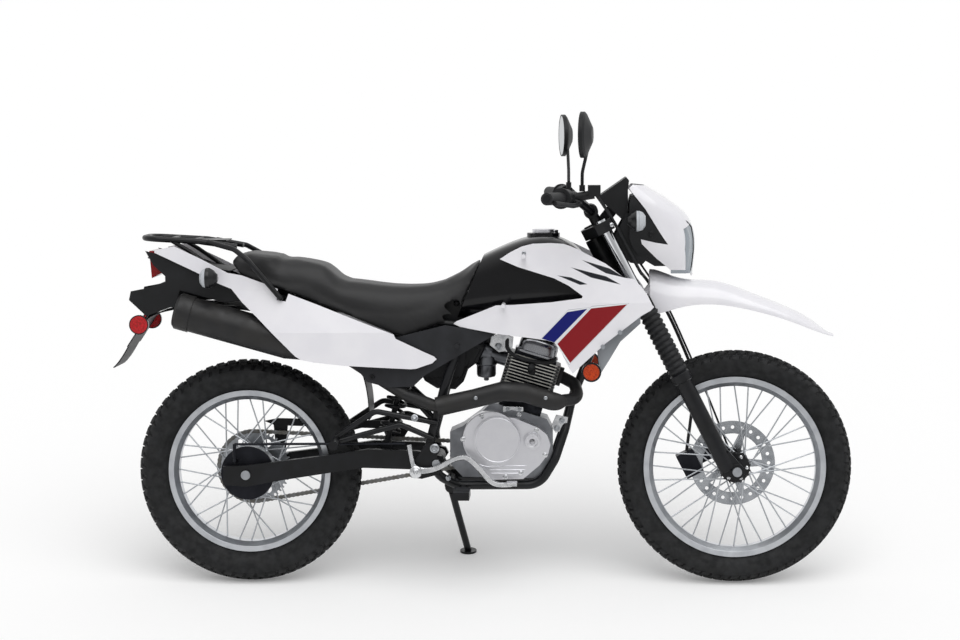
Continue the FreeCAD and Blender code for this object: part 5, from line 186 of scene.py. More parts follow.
def emboss(look, height, depth_mm, strength=1.0, normal=None):
    """Presses a pattern of heights into the surface."""
    bump = add(look.tree, "Bump", {"Strength": strength, "Distance": depth_mm * MM},
               {"Height": height})
    if normal is not None:
        look.tree.links.new(normal, bump.inputs["Normal"])
    feed(look, "Normal", bump.outputs[0])


def grain(look, size_mm, depth_mm, detail=2.0, stretch=None):
    """A fine uneven surface: a noise bump with grains of one size, and edges that are eased."""
    point = look.point
    if stretch:
        point = reckon(look.tree, "VectorMath", "MULTIPLY", point, stretch)
    edges = add(look.tree, "Bevel", {"samples": 4, "Radius": EDGE_ROUND * MM})
    emboss(look, noise(look.tree, point, size_mm, detail), depth_mm, 1.0, edges.outputs[0])


def worn_roughness(look, low, high, size_mm):
    """Roughness that wanders between two values, as handling and dust leave it."""
    patches = noise(look.tree, look.point, size_mm, 4.0)
    feed(look, "Roughness", spread(look.tree, patches, 0.35, 0.65, low, high))


def surface(name, base, roughness, metallic=0.0, drift=None, worn=None, skin=None, stretch=None,
            **sockets):
    """A material of one substance.

    drift is two colours, the size of their patches and the second one's share; worn is the least
    and greatest roughness and their patches' size; skin is the grain's size, depth and detail."""
    look = finish(name, base, roughness, metallic, **sockets)
    if drift:
        vary(look, *drift)
    if worn:
        worn_roughness(look, *worn)
    if skin:
        grain(look, *skin, stretch=stretch)
    return look.material


def offset_from(tree, origin):
    """The step from a fixed point of the machine to the surface, in metres."""
    where = add(tree, "TexCoord")
    return reckon(tree, "VectorMath", "SUBTRACT", where.outputs["Object"], origin[:])


def reach_along(tree, offset, axis):
    """How far an offset reaches along an axis, in millimetres."""
    return reckon(tree, "VectorMath", "DOT_PRODUCT", offset, (axis / MM)[:])


def side_place(tree):
    """Where a surface point lies on the upright machine's side view, as X and Z in millimetres."""
    offset = offset_from(tree, REAR_AXLE)
    rise = reach_along(tree, offset, UP)
    return reach_along(tree, offset, AHEAD), reckon(tree, "Math", "ADD", rise, REAR_TYRE_RADIUS)


def inside(tree, x, z, corners, softness=0.6):
    """One inside a convex outline of the side view and nought outside it."""
    whole, middle = None, centre(corners)
    for start, end in zip(corners, corners[1:] + corners[:1]):
        normal = Vector((end[1] - start[1], start[0] - end[0])).normalized()
        if normal.dot(middle - Vector(start)) < 0:
            normal = -normal
        level = normal.dot(Vector(start))
        part = reckon(tree, "Math", "MULTIPLY", x, normal.x)
        both = reckon(tree, "Math", "MULTIPLY_ADD", z, normal.y, part)
        edge = spread(tree, both, level - softness, level + softness)
        whole = edge if whole is None else reckon(tree, "Math", "MULTIPLY", whole, edge)
    return whole


def away_from(tree, x, z, radius, softness=0.6):
    """Nought within a radius of a point of the side view and one beyond it, in millimetres."""
    along, rise = side_place(tree)
    both = add(tree, "CombineXYZ", {}, {0: along, 1: rise})
    distance = reckon(tree, "VectorMath", "DISTANCE", both.outputs[0], (x, z, 0))
    return spread(tree, distance, radius - softness, radius + softness)


# Film stripes on the shrouds, as corners on the upright machine's side view, in millimetres.
BLUE_STRIPE = [(825, 700), (895, 774), (950, 784), (860, 690)]
RED_STRIPE = [(868, 686), (960, 785), (1057, 797), (903, 634)]
GREY_WEDGES = [[(868, 873), (905, 868), (950, 850), (930, 848)],
               [(905, 895), (1000, 872), (1040, 850), (960, 868)],
               [(935, 915), (1010, 893), (1052, 868), (1000, 880)]]


def striped_abs():
    """Gloss white ABS with blue and red film laid on it, dark wedges above, under a clear coat."""
    look = finish("gloss_abs_with_film_stripes", "#e9e8ec", 0.24, IOR=1.5, Specular_IOR_Level=0.18)
    x, z = side_place(look.tree)
    painted = vary(look, "#ebeaee", "#e6e5ea", 90)
    films = [(grown(stripe, reach), shade)
             for stripe, film in ((BLUE_STRIPE, "#10186a"), (RED_STRIPE, "#86161d"))
             for reach, shade in ((6.5, "#a3a6ac"), (5, "#eceef0"), (0, film))]
    for corners, shade in films + [(wedge, "#23252a") for wedge in GREY_WEDGES]:
        painted = paint_over(look.tree, painted, inside(look.tree, x, z, corners), shade)
    feed(look, "Base Color", painted)
    grain(look, 60, 0.25, 1.0)
    return look.material


def polypropylene(name, base, other):
    """Polypropylene moulded in a spark-eroded tool: a dry leathery grain."""
    return surface(name, base, 0.5, drift=(base, other, 60), skin=(1.4, 0.08), IOR=1.49,
                   Specular_IOR_Level=0.3)


def cast_aluminium(name, base, other, rough):
    """Die-cast and blasted aluminium: a soft silver with a fine sandy skin."""
    return surface(name, base, rough, 1.0, drift=(base, other, 30, 0.6),
                   worn=(rough - 0.03, rough + 0.04, 30), skin=(1.2, 0.006))


def bright_steel(name, base, rough):
    """Turned or drawn steel, zinc plated: bright with fine drawing lines."""
    return surface(name, base, rough, 1.0, drift=(base, "#8d9094", 22, 0.5), skin=(1.0, 0.005),
                   stretch=(1, 6, 1))


def hub_and_spokes(name, axle, hub_radius):
    """A hub cast and painted black, with bright drawn-steel spokes beyond its flange."""
    look = finish(name, "#a9acb0", 0.3, 1.0, Specular_IOR_Level=0.3)
    round_axle = reckon(look.tree, "VectorMath", "CROSS_PRODUCT", offset_from(look.tree, axle),
                        ACROSS[:])
    radius = reckon(look.tree, "VectorMath", "LENGTH", round_axle)
    spoke = spread(look.tree, radius, (hub_radius - 0.5) * MM, (hub_radius + 0.5) * MM)
    paint = vary(look, "#111214", "#1a1b1e", 22)
    feed(look, "Base Color", paint_over(look.tree, paint, spoke, "#b4b7bb"))
    feed(look, "Metallic", spoke)
    grain(look, 0.8, 0.03)
    return look.material


def tinted_acrylic(name, base, rim_at=None):
    """Injected acrylic in a signal colour: clear over a fine prism pattern moulded on its back.

    A round reflector also has its moulded black rim, outside a radius from its middle."""
    look = finish(name, base, 0.14, IOR=1.49, Specular_IOR_Level=0.35)
    tint = vary(look, base, "#5c1408", 5, 0.5)
    if rim_at:
        rim = away_from(look.tree, *rim_at)
        feed(look, "Base Color", paint_over(look.tree, tint, rim, "#101113"))
    cells = add(look.tree, "TexVoronoi", {"Scale": 1 / 4.0}, {"Vector": look.point})
    emboss(look, cells.outputs["Distance"], 0.6, 0.6)
    return look.material


def lamp_shell(name, low, high):
    """Black polypropylene whose one end is a clear moulded lens, between two distances ahead."""
    look = finish(name, "#0f1012", 0.3, IOR=1.49, Specular_IOR_Level=0.4)
    clear = spread(look.tree, side_place(look.tree)[0], low, high)
    black = vary(look, "#0f1012", "#16171a", 40)
    feed(look, "Base Color", paint_over(look.tree, black, clear, "#b9bdc2"))
    grain(look, 3, 0.1)
    return look.material


def fin_edges():
    """Cylinder cast in aluminium and painted black, its fin edges turned bright."""
    look = finish("painted_cylinder_with_bright_fins", "#151618", 0.35, 1.0)
    offset, edges = offset_from(look.tree, CYLINDER_FOOT), []
    for axis, half in ((CYLINDER_AHEAD, 73.8), (ACROSS, 62.8)):
        distance = reckon(look.tree, "Math", "ABSOLUTE", reach_along(look.tree, offset, axis))
        edges.append(spread(look.tree, distance, half - 0.4, half + 0.4))
    edge = reckon(look.tree, "Math", "MAXIMUM", *edges)
    paint = vary(look, "#1a1b1e", "#2a2b2f", 15)
    feed(look, "Base Color", paint_over(look.tree, paint, edge, "#c9c8c2"))
    grain(look, 1.2, 0.05)
    return look.material


def clear_polycarbonate():
    """Clear moulded polycarbonate over a bright reflector: glassy, grey-blue, with soft flutes."""
    look = finish("clear_moulded_polycarbonate", "#8f979e", 0.06, 0.55, Coat_Weight=1.0,
                  Coat_Roughness=0.02)
    wave = add(look.tree, "TexWave", {"Scale": 1 / 60, "Distortion": 2.0, "Detail": 1.0,
                                      "bands_direction": "Y"}, {"Vector": look.point})
    emboss(look, wave.outputs["Fac"], 3, 0.7)
    return look.material


def seat_vinyl():
    """Expanded vinyl stretched over foam: a dull black skin with leather-like pores."""
    look = finish("stretched_seat_vinyl", "#0b0b0d", 0.5, IOR=1.5, Specular_IOR_Level=0.4,
                  Sheen_Weight=0.12, Sheen_Roughness=0.4)
    vary(look, "#09090b", "#0f0f11", 80)
    pores = add(look.tree, "TexVoronoi", {"Scale": 1 / 1.6}, {"Vector": look.point})
    height = reckon(look.tree, "Math", "MULTIPLY_ADD", noise(look.tree, look.point, 35, 2.0), 8.0,
                    pores.outputs["Distance"])
    emboss(look, height, 0.12)
    return look.material


# A real grain well under a millimetre would not show from here, so such grains are drawn coarser.
FINISHES = {
    # Moulded ABS in gloss white: a bright clean skin with a faint flow waviness.
    "white": surface("gloss_moulded_abs", "#e9e8ec", 0.2, drift=("#ebeaee", "#e6e5ea", 90),
                     skin=(60, 0.25, 1.0), IOR=1.5, Coat_Weight=0.4, Coat_Roughness=0.08),
    "striped": striped_abs(),
    # Steel pressed and sprayed in black enamel: deep gloss with a clear coat over it.
    "tank": surface("sprayed_black_enamel", "#08080a", 0.2, drift=("#08080a", "#0c0c0f", 70),
                    skin=(40, 0.12, 1.0), IOR=1.5, Specular_IOR_Level=0.25, Coat_Weight=0.12,
                    Coat_Roughness=0.05),
    # Black powder coat baked on steel tube: an even semi-gloss with a fine orange peel.
    "powder": surface("powder_coated_steel", "#0b0c0e", 0.34, drift=("#0a0b0d", "#111216", 45),
                      worn=(0.28, 0.45, 35), skin=(3, 0.05), IOR=1.5, Specular_IOR_Level=0.3),
    "black_plastic": polypropylene("moulded_black_polypropylene", "#0f1012", "#16171a"),
    "charcoal": polypropylene("moulded_charcoal_polypropylene", "#1c1d20", "#242529"),
    "grey": polypropylene("moulded_grey_polypropylene", "#8b8f94", "#94989d"),
    # Vulcanised tyre rubber: near black, dry, dusted grey on the shoulders.
    "tyre": surface("vulcanised_tyre_rubber", "#0f1011", 0.72, drift=("#0d0e0f", "#17181a", 30),
                    worn=(0.6, 0.85, 20), skin=(2, 0.12), IOR=1.52, Specular_IOR_Level=0.35),
    # Moulded soft rubber of boots and grips: matt black with a faint bloom.
    "boot": surface("moulded_boot_rubber", "#121315", 0.6, drift=("#111214", "#1b1c1f", 18),
                    skin=(1.2, 0.06), IOR=1.52, Specular_IOR_Level=0.35),
    "cover": cast_aluminium("clear_coated_cast_aluminium", "#d7d7db", "#cfcfd4", 0.36),
    "case": cast_aluminium("blasted_cast_aluminium", "#85878b", "#6d6f73", 0.38),
    "cylinder": fin_edges(),
    "head": cast_aluminium("polished_dark_casting", "#a4a5a9", "#96979b", 0.2),
    "carburettor": cast_aluminium("die_cast_zinc", "#6f7175", "#5c5e62", 0.36),
    "forged": bright_steel("bright_plated_forging", "#d9dadc", 0.24),
    "black_cast": cast_aluminium("black_anodised_casting", "#26272b", "#303136", 0.45),
    # Extruded and rolled aluminium rim: brushed round its hoop and clear anodised.
    "rim": surface("anodised_rolled_aluminium", "#c9ccd0", 0.3, 1.0,
                   drift=("#c9ccd0", "#b9bcc1", 40), skin=(0.8, 0.03), stretch=(1, 12, 1)),
    "steel": bright_steel("zinc_plated_steel", "#a9acb0", 0.28),
    "front_hub": hub_and_spokes("painted_front_hub_and_spokes", FRONT_AXLE, 45),
    "rear_hub": hub_and_spokes("painted_rear_hub_and_spokes", REAR_AXLE, 60),
    "disc": bright_steel("ground_stainless_steel", "#b0b3b7", 0.25),
    "chain": bright_steel("oiled_chain_steel", "#6d6b66", 0.35),
    # Hard chrome ground on the fork's tubes: a mirror with slight softness.
    "chrome": surface("ground_hard_chrome", "#d9dbde", 0.08, 1.0, worn=(0.05, 0.14, 30)),
    # High-temperature black paint on the exhaust: dull, slightly browned by heat.
    "exhaust": surface("baked_heat_paint", "#141415", 0.5, drift=("#131315", "#1d1c1b", 50),
                       worn=(0.42, 0.6, 25), skin=(1.5, 0.04), IOR=1.5, Specular_IOR_Level=0.4),
    "amber": tinted_acrylic("amber_acrylic", "#c4400e", (961, 607, 22)),
    "red_round": tinted_acrylic("red_reflector_acrylic", "#bc1f26", (-293, 735, 24)),
    "red": tinted_acrylic("red_acrylic", "#a00d12"),
    "front_shell": lamp_shell("front_indicator_mouldings", 1083, 1084),
    "rear_shell": lamp_shell("rear_indicator_mouldings", -94, -95),
    "clear": clear_polycarbonate(),
    # Mirror glass silvered on its back: a clean reflection.
    "mirror": surface("silvered_glass", "#8d9297", 0.03, 1.0),
    "vinyl": seat_vinyl(),
}

NODE_FINISHES = {
    "white": "headlight_cowl front_fender tail_covers",
    "striped": "tank_shrouds",
    "tank": "fuel_tank",
    "powder": "frame fork_yokes rear_rack swingarm handlebar side_stand foot_pegs "
              "rear_shock fork_legs",
    "black_plastic": "hand_controls mirrors headlight_housing instrument_binnacle "
                     "rear_fender chain_guard airbox",
    "front_shell": "front_indicators",
    "rear_shell": "rear_indicators",
    "charcoal": "side_panels",
    "grey": "air_guides",
    "tyre": "front_tyre rear_tyre",
    "boot": "fork_gaiters grips brake_hose control_cables",
    "cover": "clutch_cover left_covers fuel_cap",
    "case": "crankcase",
    "head": "head_cover",
    "cylinder": "cylinder",
    "carburettor": "carburettor",
    "black_cast": "brake_caliper rear_brake",
    "rim": "front_rim rear_rim",
    "front_hub": "front_hub",
    "rear_hub": "rear_hub",
    "steel": "front_axle rear_axles foot_controls rear_sprocket",
    "disc": "brake_disc",
    "chain": "chain",
    "chrome": "fork_tubes",
    "exhaust": "exhaust_pipe muffler",
    "amber": "front_reflectors",
    "red": "tail_lamp",
    "red_round": "rear_reflectors",
    "clear": "headlight",
    "mirror": "mirror_glasses",
    "vinyl": "seat",
}


def dress(mesh, finish_name, crisp_degrees=CRISP_DEGREES):
    """Gives a mesh its material, with smooth curves and crisp corners."""
    mesh.materials.clear()
    mesh.materials.append(FINISHES[finish_name])
    mesh.shade_smooth()
    mesh.set_sharp_from_angle(angle=math.radians(crisp_degrees))


for finish_name, node_names in NODE_FINISHES.items():
    for node_name in node_names.split():
        dress(frame["nodes"][node_name].data, finish_name)


# ---- making and placing pieces


def in_scene(name, data):
    """A new object of the scene."""
    thing = bpy.data.objects.new(name, data)
    bpy.context.scene.collection.objects.link(thing)
    return thing


def new_piece(name, mesh, finish_name, body="chassis", crisp_degrees=CRISP_DEGREES):
    """Puts a finished mesh in the scene as a piece that rides on one body."""
    dress(mesh, finish_name, crisp_degrees)
    piece = in_scene(name, mesh)
    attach(piece, body)
    return piece


def made_piece(bm, name, finish_name, body="chassis", crisp_degrees=CRISP_DEGREES):
    """The piece of a finished bmesh, with its faces turned outward."""
    bmesh.ops.recalc_face_normals(bm, faces=bm.faces)
    mesh = bpy.data.meshes.new(name)
    bm.to_mesh(mesh)
    bm.free()
    return new_piece(name, mesh, finish_name, body, crisp_degrees)


def place_with(origin, ahead, across, up):
    """Millimetres at a point, along three axes."""
    axes = Matrix((ahead, across, up)).transposed().to_4x4()
    return Matrix.Translation(origin) @ axes @ Matrix.Scale(MM, 4)


def place_along(origin, axis, ahead=AHEAD):
    """Millimetres at a point, with Z along an axis and X as near to ahead as it can be."""
    up = Vector(axis).normalized()
    along = (ahead - up * ahead.dot(up)).normalized()
    return place_with(origin, along, up.cross(along), up)


def stand(x, y, z, axis):
    """The same at a point of the upright machine."""
    return place_along(upright(x, y, z), axis)


def squarish_ring(bm, place, half, wide, power, height, count):
    """A ring round a place's Z whose corners are fuller with a higher power; power 2 is round."""
    ring = []
    for step in range(count if half else 1):
        cos, sin = math.cos(math.tau * step / count), math.sin(math.tau * step / count)
        reach = (abs(cos) ** power + abs(sin) ** power) ** (-1 / power)
        ring.append(bm.verts.new(place @ Vector((half * cos * reach, wide * sin * reach, height))))
    return ring


def skin_rings(bm, rings, capped=False):
    """Faces from ring to ring, where a ring of one point closes an end."""
    for lower, upper in zip(rings, rings[1:]):
        count = max(len(lower), len(upper))
        for step in range(count):
            after = (step + 1) % count
            corners = [lower[step % len(lower)], lower[after % len(lower)],
                       upper[after % len(upper)], upper[step % len(upper)]]
            bm.faces.new(list(dict.fromkeys(corners)))
    if capped:
        bm.faces.new(rings[0])
        bm.faces.new(rings[-1])


def turned(bm, place, profile, count=24):
    """A turned form: a profile of (radius, height) pairs swept round the place's Z."""
    skin_rings(bm, [squarish_ring(bm, place, radius, radius, 2, height, count)
                    for radius, height in profile])


def flange_bolt(bm, place, size):
    """A hexagon bolt with its pressed washer face and a shallow dish in the head."""
    washer = size * 1.45
    turned(bm, place, [(0, -1), (washer, -1), (washer, size * 0.18), (size * 1.2, size * 0.34),
                       (0, size * 0.34)], 20)
    turned(bm, place, [(0, 0), (size, 0), (size, size * 0.95), (size * 0.86, size * 1.15),
                       (size * 0.62, size * 1.15), (size * 0.5, size), (0, size)], 6)


def socket_screw(bm, place, size):
    """A round-headed screw with a hexagon socket."""
    turned(bm, place, [(0, -1), (size, -1), (size, size * 0.35), (size * 0.84, size * 0.72),
                       (size * 0.5, size * 0.86)], 20)
    turned(bm, place, [(size * 0.5, size * 0.84), (size * 0.42, size * 0.3), (0, size * 0.3)], 6)


TREES = {}


def on_side(nodes, x, z, side=-1):
    """Where a level line from one side first meets the named nodes, and the normal there.

    x and z are millimetres on the upright machine; side is -1 for the right, 1 for the left."""
    best = None
    start = upright(x, side * 600, z)
    for name in nodes:
        if name not in TREES:
            mesh = frame["nodes"][name].data
            TREES[name] = BVHTree.FromPolygons([v.co for v in mesh.vertices],
                                               [p.vertices[:] for p in mesh.polygons])
        point, normal, _, distance = TREES[name].ray_cast(start, ACROSS * -side)
        if point is not None and (best is None or distance < best[2]):
            if normal.dot(ACROSS) * side < 0:
                normal = -normal
            best = (point, normal, distance)
    if best is None:
        raise ValueError(f"nothing of {nodes} lies at {x}, {z}")
    return best[:2]


def circle(x, z, radius, count):
    """Places evenly round a point of the side view."""
    return [(x + radius * math.cos(math.tau * k / count),
             z + radius * math.sin(math.tau * k / count)) for k in range(count)]


def fasteners(name, finish_name, maker, nodes, places, side=-1, body="chassis"):
    """One piece of bolts or screws of a kind, each seated square on the surface under it."""
    bm = bmesh.new()
    for x, z, size in places:
        maker(bm, place_along(*on_side(nodes, x, z, side)), size)
    return made_piece(bm, name, finish_name, body)


def tube_along(bm, points, radius, count=8):
    """A round bar or bead along points in metres, with closed ends; radius in millimetres."""
    rings, last = [], len(points) - 1
    for number, point in enumerate(points):
        along = points[min(number + 1, last)] - points[max(number - 1, 0)]
        here = radius * (0.5 if number in (0, last) else 1)
        rings.append(squarish_ring(bm, place_along(point, along, ACROSS), here, here, 2, 0, count))
    skin_rings(bm, rings, capped=True)


def beads(name, finish_name, nodes, lines, radius, side=-1, body="chassis"):
    """Raised ribs that follow the surface of the named nodes along lines of the side view."""
    bm = bmesh.new()
    for line in lines:
        points = []
        for (x0, z0), (x1, z1) in zip(line, line[1:]):
            steps = max(2, round(math.hypot(x1 - x0, z1 - z0) / 8))
            points += [(x0 + (x1 - x0) * k / steps, z0 + (z1 - z0) * k / steps)
                       for k in range(steps)]
        points.append(line[-1])
        tube_along(bm, [on_side(nodes, x, z, side)[0] for x, z in points], radius)
    return made_piece(bm, name, finish_name, body)


def plate(bm, corners, level, thickness, bevel=0.8):
    """A flat plate from corners on the side view, standing out from a level across the machine."""
    out = -1 if level < 0 else 1
    middle, rings = centre(corners), []
    for inset, across in ((0, 0), (0, thickness - bevel), (bevel, thickness)):
        ring = []
        for corner in corners:
            away = Vector(corner) - middle
            x, z = middle + away * (1 - inset / max(away.length, inset))
            ring.append(bm.verts.new(upright(x, level + out * across, z)))
        rings.append(ring)
    skin_rings(bm, rings, capped=True)


def both_ways(bm, corners, thickness, bevel):
    """One thick block of two plates that meet at the machine's middle."""
    for level in (0, -0.01):
        plate(bm, corners, level, thickness, bevel)


# ---- tyres


def bulge(start, end, radius, count):
    """Points on an arc between two (across, radius) points, bowed outward, without the first."""
    a, b = Vector(start), Vector(end)
    chord = b - a
    normal = Vector((chord.y, -chord.x)).normalized()
    middle = (a + b) / 2 - normal * math.sqrt(radius ** 2 - chord.length_squared / 4)
    low = a - middle
    whole = low.angle_signed(b - middle)
    return [tuple(middle + Matrix.Rotation(-whole * step / count, 2) @ low)
            for step in range(1, count + 1)]


def tread_block(bm, at, crown_radius, side, reach, first, turn, lean, depth):
    """One block of rubber on the crown, tapered to its top, from its first angle round the tyre.

    reach is its (from, to) across; turn is how far round it goes, and lean how far its far end is
    turned on, in radians."""
    steps, taper = 4, 0.05
    low, high = reach
    tops, feet = [], []
    for k in range(steps + 1):
        across = low + (high - low) * k / steps
        rise = 0.5 if k in (0, steps) else 0.05
        inward = 0.5 * (1 if k == 0 else -1 if k == steps else 0)
        for edge in (0, 1):
            angle = first + lean * k / steps + turn[0] * edge
            ease = taper * (1 - 2 * edge) * turn[1]
            feet.append(bm.verts.new(at(side * across, crown_radius(across) - depth - 0.6, angle)))
            tops.append(bm.verts.new(at(side * (across + inward), crown_radius(across) - rise,
                                        angle + ease)))
    for k in range(steps):
        a, b, c, d = 2 * k, 2 * k + 1, 2 * k + 3, 2 * k + 2
        bm.faces.new((tops[a], tops[b], tops[c], tops[d]))
        bm.faces.new((feet[a], feet[d], feet[c], feet[b]))
        bm.faces.new((feet[a], tops[a], tops[d], feet[d]))
        bm.faces.new((feet[b], feet[c], tops[c], tops[b]))
    bm.faces.new((feet[0], feet[1], tops[1], tops[0]))
    bm.faces.new((feet[-2], tops[-2], tops[-1], feet[-1]))


def tread_tyre(name, node, body, axle, radius, width, bead, flange, rim_width, pitches, rows):
    """A dual sport tyre: smooth side walls with fine rings, and blocks cut across its crown.

    Each row of blocks is (from, to, start, length, slant): its reach across in millimetres, and
    its start, length and slant along the tyre in shares of one pitch."""
    depth, sections = 6.5, 144
    half_bead = rim_width / 2 - 4.4
    crown, edge = width * 0.55, width * 0.46

    def crown_radius(across):
        return radius - width * 0.0015 - crown + math.sqrt(crown ** 2 - across ** 2)

    def at(across, distance, angle):
        outward = AHEAD * math.cos(angle) + UP * math.sin(angle)
        return axle + (ACROSS * across + outward * distance) * MM

    wall = [(half_bead, bead + 0.4), (half_bead, flange + 1)]
    wall += bulge(wall[-1], (edge, radius - width * 0.25), width * 0.62, 14)
    floor = [(edge * k / 10, crown_radius(edge * k / 10) - depth) for k in range(9, 0, -1)]
    rings = [(across + (0.7 if number in (4, 6, 7) else 0), distance)
             for number, (across, distance) in enumerate(wall + floor)]
    profile = rings + [(0, crown_radius(0) - depth)] + [(-a, r) for a, r in reversed(rings)]
    bm = bmesh.new()
    grid = [[bm.verts.new(at(a, r, math.tau * k / sections)) for a, r in profile]
            for k in range(sections)]
    skin_rings(bm, grid + grid[:1])
    pitch = math.tau / pitches
    for number in range(pitches):
        for low, high, start, length, slant in rows:
            for side in (-1, 1) if low > 0 else (1,):
                first = (number + start + (0.5 if side < 0 else 0)) * pitch
                tread_block(bm, at, crown_radius, side, (low, high), first,
                            (length * pitch, pitch), slant * pitch, depth)
    piece = made_piece(bm, name, "tyre", body, 28)
    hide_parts(node)
    return piece


tread_tyre("front_tread_tyre", "front_tyre", "front_wheel", FRONT_AXLE, FRONT_TYRE_RADIUS, 92,
           243, 254, 56, 72,
           [(-10, 10, 0.1, 0.72, 0.22), (14, 26, 0.35, 0.74, 0.2), (30, 41, 0.0, 0.8, 0.12)])
tread_tyre("rear_tread_tyre", "rear_tyre", "rear_wheel", REAR_AXLE, REAR_TYRE_RADIUS, 108,
           218, 229, 66, 60,
           [(-12, 12, 0.1, 0.7, 0.22), (16, 31, 0.35, 0.72, 0.2), (35, 49, 0.0, 0.76, 0.14)])


# ---- seat

# The seat's top line on the upright machine, as (along, height) in millimetres.
SEAT_TOP = [(-60, 941), (-44, 940), (33, 933), (62, 930), (139, 919), (208, 906), (225, 901),
            (243, 889), (265, 870), (286, 860), (320, 854), (364, 848), (410, 843), (455, 841),
            (490, 842), (520, 846), (553, 856), (595, 878), (625, 897), (648, 906), (680, 908)]


def between(table, along):
    """The value of a table of (along, value) pairs at a place along it."""
    for (x0, z0), (x1, z1) in zip(table, table[1:]):
        if along <= x1:
            return z0 + (z1 - z0) * max(0, along - x0) / (x1 - x0)
    return table[-1][1]


def follow_top_line(mesh):
    """Raise or lower the seat's upper part so that its ridge follows the measured top line."""
    slice_length, moved_depth, most = 12, 110, 28
    places = []
    for vertex in mesh.vertices:
        offset = vertex.co - REAR_AXLE
        places.append((offset.dot(AHEAD) / MM, offset.dot(UP) / MM + REAR_TYRE_RADIUS))
    tops = {}
    for x, z in places:
        key = round(x / slice_length)
        tops[key] = max(tops.get(key, 0), z)
    rough = sorted((key * slice_length, top) for key, top in tops.items())
    ridge = []
    for number, (x, _) in enumerate(rough):
        near = [z for _, z in rough[max(0, number - 1):number + 2]]
        ridge.append((x, sum(near) / len(near)))
    for vertex, (x, z) in zip(mesh.vertices, places):
        top = between(ridge, x)
        share = max(0, min(1, 1 - (top - z) / moved_depth))
        share = share * share * (3 - 2 * share)
        rise = max(-most, min(most, between(SEAT_TOP, x) - 1 - top))
        vertex.co += UP * rise * share * MM


def evaluated(thing):
    """A thing as its modifiers leave it."""
    return thing.evaluated_get(bpy.context.evaluated_depsgraph_get())


def swell(cushion, mesh):
    """Blows the cover up a little from a smaller start, by pressure, while its base is held."""
    shrink, most = 2 * MM, 5 * MM
    scene = bpy.context.scene
    starts = [vertex.co - vertex.normal * shrink for vertex in mesh.vertices]
    for vertex, start in zip(mesh.vertices, starts):
        vertex.co = start
    held = cushion.vertex_groups.new(name="base_edge")
    for vertex in mesh.vertices:
        if vertex.normal.dot(UP) < -0.3:
            held.add([vertex.index], 1.0, "REPLACE")
    settings = cushion.modifiers.new("cover", "CLOTH").settings
    settings.use_pressure = True
    settings.uniform_pressure_force = 4
    settings.vertex_group_mass = "base_edge"
    settings.effector_weights.gravity = 0
    for number in range(1, 21):
        scene.frame_set(number)
    moved = [vertex.co.copy() for vertex in evaluated(cushion).data.vertices]
    cushion.modifiers.clear()
    for vertex, start, end in zip(mesh.vertices, starts, moved):
        step = end - start
        vertex.co = start + step * min(1, most / max(step.length, 1e-9))
    scene.frame_set(1)


def seat_cushion():
    """The foam seat in its stretched cover, swollen by its foam and held round its base."""
    blank = in_scene("seat_blank", frame["nodes"]["seat"].data.copy())
    remesh = blank.modifiers.new("even_mesh", "REMESH")
    remesh.mode, remesh.voxel_size = "VOXEL", 6 * MM
    mesh = bpy.data.meshes.new_from_object(evaluated(blank))
    bpy.data.objects.remove(blank)
    cushion = in_scene("seat_cushion", mesh)
    swell(cushion, mesh)
    follow_top_line(mesh)
    soften = cushion.modifiers.new("soften", "SMOOTH")
    soften.factor, soften.iterations = 0.5, 8
    finer = cushion.modifiers.new("finer", "SUBSURF")
    finer.levels = finer.render_levels = 1
    final = bpy.data.meshes.new_from_object(evaluated(cushion))
    bpy.data.objects.remove(cushion)
    piece = new_piece("seat_cushion", final, "vinyl", "chassis", 60)
    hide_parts("seat")


seat_cushion()


# ---- hose and cable


def cord_piece(name, node, route, radius):
    """A rubber-covered line held at both ends, along a smooth curve near its solid."""
    data = bpy.data.curves.new(name, "CURVE")
    data.dimensions = "3D"
    data.bevel_depth, data.bevel_resolution, data.resolution_u = radius * MM, 4, 12
    spline = data.splines.new("NURBS")
    spline.points.add(len(route) - 1)
    for point, place in zip(spline.points, route):
        point.co = (*on_fork(*place), 1)
    spline.order_u = 3
    spline.use_endpoint_u = True
    data.materials.append(FINISHES["boot"])
    piece = in_scene(name, data)
    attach(piece, "steering")
    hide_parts(node)


# The routes of the solids, in millimetres on the steering axis.
cord_piece("front_brake_hose", "brake_hose",
           [(58, -120, 862), (70, -97, 800), (70, -95, 625), (72, -60, 600), (72, 60, 600),
            (80, 94, 560), (89.6, 97, 463), (80.8, 97, 320), (74, 74, 262), (20, 62, 180),
            (-48, 66, 80)], 4.5)
cord_piece("speedometer_cable", "control_cables",
           [(78, 44, 715), (76, 48, 660), (84, 60, 610), (92, 82, 540), (97, 85, 463),
            (89, 85, 320), (80, 92, 160), (64, 95, 10)], 3)


# ---- engine and controls in detail


